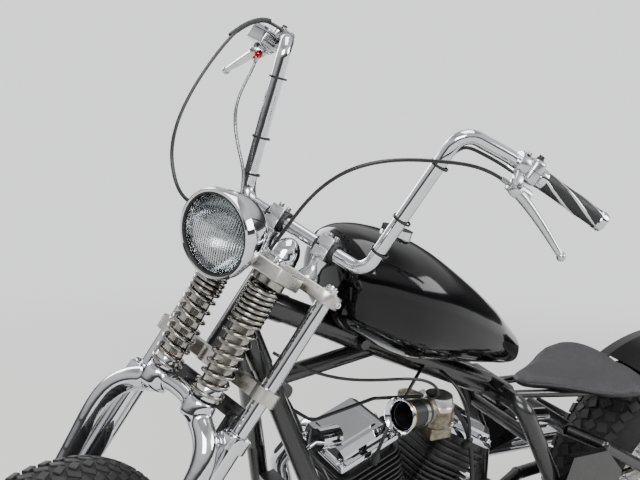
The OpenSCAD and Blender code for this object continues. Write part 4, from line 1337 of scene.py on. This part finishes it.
# ---------- the saddle ----------
@dataclass
class Saddle(SubAssembly):
    """The low solo saddle: a stuffed leather pad, swollen by cloth simulation, with piping."""

    voxel: float = 0.006
    pressure: float = 4.0
    swell: float = 0.006
    frames: int = 20
    hollow_depth: float = 4.5
    crown_from: float = 636
    welt_radius: float = 5.5
    welt_points: int = 60

    def form(self) -> Thing:
        """The pad before it is stuffed, a little smaller than the finished one."""
        pad = moulded([
            (203, 50, 624, 640), (210, 100, 616, 650), (232, 128, 614, 655), (270, 139, 615, 656),
            (320, 137, 618, 648), (365, 112, 621, 645), (405, 84, 623, 646), (450, 56, 626, 650),
            (490, 37, 629, 652), (516, 24, 631, 651), (526, 8, 635, 645)], 3.0)
        for vertex in pad.data.vertices:
            x, y, z = vertex.co
            if z > self.crown_from:
                hollow = math.exp(-((x - 330) / 70) ** 2 - (y / 80) ** 2)
                vertex.co.z -= self.hollow_depth * hollow
        return moved(pad, self.axes)

    def stuffed(self, pad: Thing) -> Thing:
        """Swells the pad with cloth pressure, with each point's movement capped."""
        modify(pad, "REMESH", mode="VOXEL", voxel_size=self.voxel)
        rest = [v.co.copy() for v in pad.data.vertices]
        take(pad)
        cloth = pad.modifiers.new("stuffing", "CLOTH")
        cloth.settings.use_pressure = True
        cloth.settings.uniform_pressure_force = self.pressure
        cloth.settings.effector_weights.gravity = 0
        cloth.point_cache.frame_start, cloth.point_cache.frame_end = 1, self.frames
        for frame_number in range(1, self.frames + 1):
            bpy.context.scene.frame_set(frame_number)
        bpy.ops.object.modifier_apply(modifier=cloth.name)
        bpy.context.scene.frame_set(1)
        for vertex, start in zip(pad.data.vertices, rest):
            step = vertex.co - start
            if step.length > self.swell:
                vertex.co = start + step.normalized() * self.swell
        modify(pad, "SMOOTH", factor=0.5, iterations=3)
        return modify(pad, "SUBSURF", levels=1, render_levels=1)

    def piping(self, pad: Thing) -> Thing:
        """The welt sewn round the pad's widest line."""
        back = self.axes.inverted()
        best: dict[int, Vector] = {}
        for vertex in pad.data.vertices:
            p = back @ vertex.co
            a = math.atan2(p.y / 0.55, p.x - 350)
            key = round(a / math.tau * self.welt_points) % self.welt_points
            reach = math.hypot(p.y / 0.55, p.x - 350) - abs(p.z - 634 - (p.x - 350) * 0.03) * 0.6
            if key not in best or reach > best[key][0]:
                best[key] = (reach, p)
        loop = [best[k][1] for k in sorted(best)]
        smooth = [(loop[k - 1] + loop[k] * 2 + loop[(k + 1) % len(loop)]) / 4
                  for k in range(len(loop))]
        return dressed(swept(smooth + smooth[:2], self.welt_radius, 10, smooth=True), Paint.LEATHER)

    def build(self) -> None:
        """Models the pad and its welt."""
        pad = dressed(self.stuffed(self.form()), Paint.LEATHER)
        welt = self.piping(pad)
        pad.name = pad.data.name = "saddle_pad"
        take(pad)
        bpy.ops.object.shade_smooth()
        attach(pad, self.body)
        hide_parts("seat")
        self.hand_in("saddle_welt", [welt], "leather", angle=60)


# ---------- the studio ----------
@dataclass
class Studio:
    """Pale floor, soft light and the camera."""

    floor: str = "#CFCFCD"
    wall: str = "#F4F5F5"
    lens: float = 60.2
    azimuth: float = 31.9
    elevation: float = 8.7
    reach: float = 1.906
    across: float = 0.0837
    lift: float = 0.0517
    roll: float = 1.6
    backdrop: float = 1.5
    floor_reach: float = 40
    fade_from: float = 1.6
    fade_to: float = 4.5

    def camera(self) -> None:
        """The camera, aimed from the front left at the steering head."""
        a, e = math.radians(self.azimuth), math.radians(self.elevation)
        back = Vector((math.sin(a) * math.cos(e), math.cos(a) * math.cos(e), math.sin(e)))
        right = (-back).cross(Vector((0, 0, 1))).normalized()
        up = right.cross(-back)
        head = Vector(joint("steering")["pos_m"])
        place = head + back * self.reach + right * self.across + up * self.lift
        turn = Matrix((right, up, back)).transposed() @ Matrix.Rotation(
            math.radians(self.roll), 3, "Z")
        data = bpy.data.cameras.new("camera")
        data.lens = self.lens
        eye = bpy.data.objects.new("camera", data)
        eye.matrix_world = Matrix.Translation(place) @ turn.to_4x4()
        bpy.context.collection.objects.link(eye)
        bpy.context.scene.camera = eye

    def ground(self) -> None:
        """The floor, far wider than the bike."""
        clear()
        bpy.ops.mesh.primitive_circle_add(vertices=64, radius=self.floor_reach, fill_type="NGON")
        floor = bpy.context.object
        floor.name = "floor"
        pale = Finish("pale_floor", self.floor, 0.0, 0.5, 0.04, grain_mm=6, grain_depth=0.02)
        material = pale.build()
        tree = material.node_tree
        out = next(n for n in tree.nodes if n.type == "OUTPUT_MATERIAL")
        near = out.inputs["Surface"].links[0].from_socket
        place = add(tree, "ShaderNodeTexCoord", {}).outputs["Object"]
        away = add(tree, "ShaderNodeVectorMath", {0: place}, operation="LENGTH").outputs["Value"]
        fade = add(tree, "ShaderNodeMapRange", {
            "Value": away, "From Min": self.fade_from, "From Max": self.fade_to},
            interpolation_type="SMOOTHSTEP").outputs["Result"]
        glow = add(tree, "ShaderNodeEmission", {
            "Color": linear(self.wall), "Strength": self.backdrop})
        both = add(tree, "ShaderNodeMixShader", {0: fade, 1: near, 2: glow.outputs["Emission"]})
        tree.links.new(both.outputs["Shader"], out.inputs["Surface"])
        floor.data.materials.append(material)

    def panel(self, name: str, place: Point, size: float, power: float) -> None:
        """One soft panel lamp aimed at the bike."""
        data = bpy.data.lights.new(name, "AREA")
        data.shape, data.size, data.size_y, data.energy = "RECTANGLE", size, size * 0.6, power
        lamp = bpy.data.objects.new(name, data)
        aim = Vector((0.2, 0, 0.7)) - Vector(place)
        lamp.matrix_world = Matrix.Translation(place) @ aim.to_track_quat("-Z", "Y").to_matrix(
            ).to_4x4()
        bpy.context.collection.objects.link(lamp)

    def surround(self) -> None:
        """What metal mirrors: a white room with a darker band low behind the viewer."""
        world = bpy.data.worlds.new("studio")
        bpy.context.scene.world = world
        world.use_nodes = True
        tree = world.node_tree
        tree.nodes.clear()
        coords = add(tree, "ShaderNodeTexCoord", {})
        parts = add(tree, "ShaderNodeSeparateXYZ", {"Vector": coords.outputs["Generated"]})
        room = add(tree, "ShaderNodeValToRGB", {"Fac": add(tree, "ShaderNodeMapRange", {
            "Value": parts.outputs["Z"], "From Min": -1.0, "From Max": 1.0}).outputs["Result"]})
        stops = [(0.0, 0.25), (0.47, 0.3), (0.52, 0.06), (0.58, 0.12), (0.64, 0.75), (0.8, 1.1),
                 (0.9, 0.5), (1.0, 0.9)]
        ramp = room.color_ramp
        while len(ramp.elements) < len(stops):
            ramp.elements.new(0.5)
        for stop, (place, grey) in zip(ramp.elements, stops):
            stop.position, stop.color = place, (grey, grey, grey * 1.01, 1)
        seen = add(tree, "ShaderNodeLightPath", {})
        lit = add(tree, "ShaderNodeBackground", {"Color": room.outputs["Color"], "Strength": 0.9})
        plain = add(tree, "ShaderNodeBackground", {
            "Color": linear(self.wall), "Strength": self.backdrop})
        both = add(tree, "ShaderNodeMixShader", {
            0: seen.outputs["Is Camera Ray"], 1: lit.outputs["Background"],
            2: plain.outputs["Background"]})
        add(tree, "ShaderNodeOutputWorld", {"Surface": both.outputs["Shader"]})

    def build(self) -> None:
        """Sets up floor, lights and camera."""
        self.camera()
        self.ground()
        self.surround()
        self.panel("key_panel", (2.4, 3.0, 3.4), 2.6, 160)
        self.panel("side_panel", (-2.8, 2.2, 2.2), 2.2, 70)
        self.panel("far_panel", (0.5, -3.6, 2.6), 2.8, 110)
        self.panel("top_panel", (-0.4, 0.2, 4.2), 3.0, 90)


@dataclass
class CarriedOver:
    """The frame's own nodes that keep their shape and get a finish."""

    finishes: dict[Paint, tuple[str, ...]] = field(default_factory=lambda: {
        Paint.POWDER: ("head_tube", "backbone", "cross_tubes", "seat_rails", "swingarm",
                       "side_stand", "radiator", "side_covers"),
        Paint.ENAMEL: ("rear_fender",),
        Paint.HEATPROOF: ("front_cylinder", "rear_cylinder"),
        Paint.CHROME: ("rear_shock", "right_engine_cover", "fuel_cap", "horn", "left_footpeg",
                       "right_footpeg", "rear_rim", "rear_spokes", "front_rim", "front_spokes",
                       "rockers", "rigid_legs"),
        Paint.CAST: ("crankcase", "rear_hub", "front_hub", "steering_stem"),
        Paint.PLASTIC: ("front_caliper", "rear_caliper"),
        Paint.SHEATH: ("engine_cables",),
        Paint.RED_LENS: ("tail_light",),
        Paint.PLATE: ("number_plate",)})

    def dress(self) -> None:
        """Gives each node its finish."""
        for paint, names in self.finishes.items():
            for name in names:
                dressed(frame["nodes"][name], paint)


def main() -> None:
    """Builds the studio and every sub-assembly, in order."""
    logging.basicConfig(level=logging.INFO, format="%(message)s")
    Studio().build()
    CarriedOver().dress()
    on_y = Matrix.Rotation(math.pi / 2, 4, "X")
    front = FORK @ Matrix.Translation((72, 0, -761)) @ on_y
    rear = BIKE @ Matrix.Translation((0, 0, 326.5)) @ on_y
    for assembly in (
            Springs("fork", FORK), SpringerLegs("fork", FORK), Clamps("fork", FORK),
            Headlamp("fork", LAMP), Bars("fork", FORK), HandControls("fork", FORK),
            BarCables("fork", FORK),
            Tyre("front_wheel", front, 340, 55, 241, "tread_front", "front_tyre"),
            Tyre("rear_wheel", rear, 326.5, 85, 190.5, "tread_rear", "rear_tyre"),
            Tank("chassis", BIKE), Cradle("chassis", BIKE), Engine("chassis", BIKE),
            Intake("chassis", BIKE), EngineCovers("chassis", BIKE), Chain("chassis", BIKE),
            Plumbing("chassis", BIKE), Saddle("chassis", BIKE)):
        assembly.build()
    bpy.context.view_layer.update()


if __name__ == "__main__":
    main()
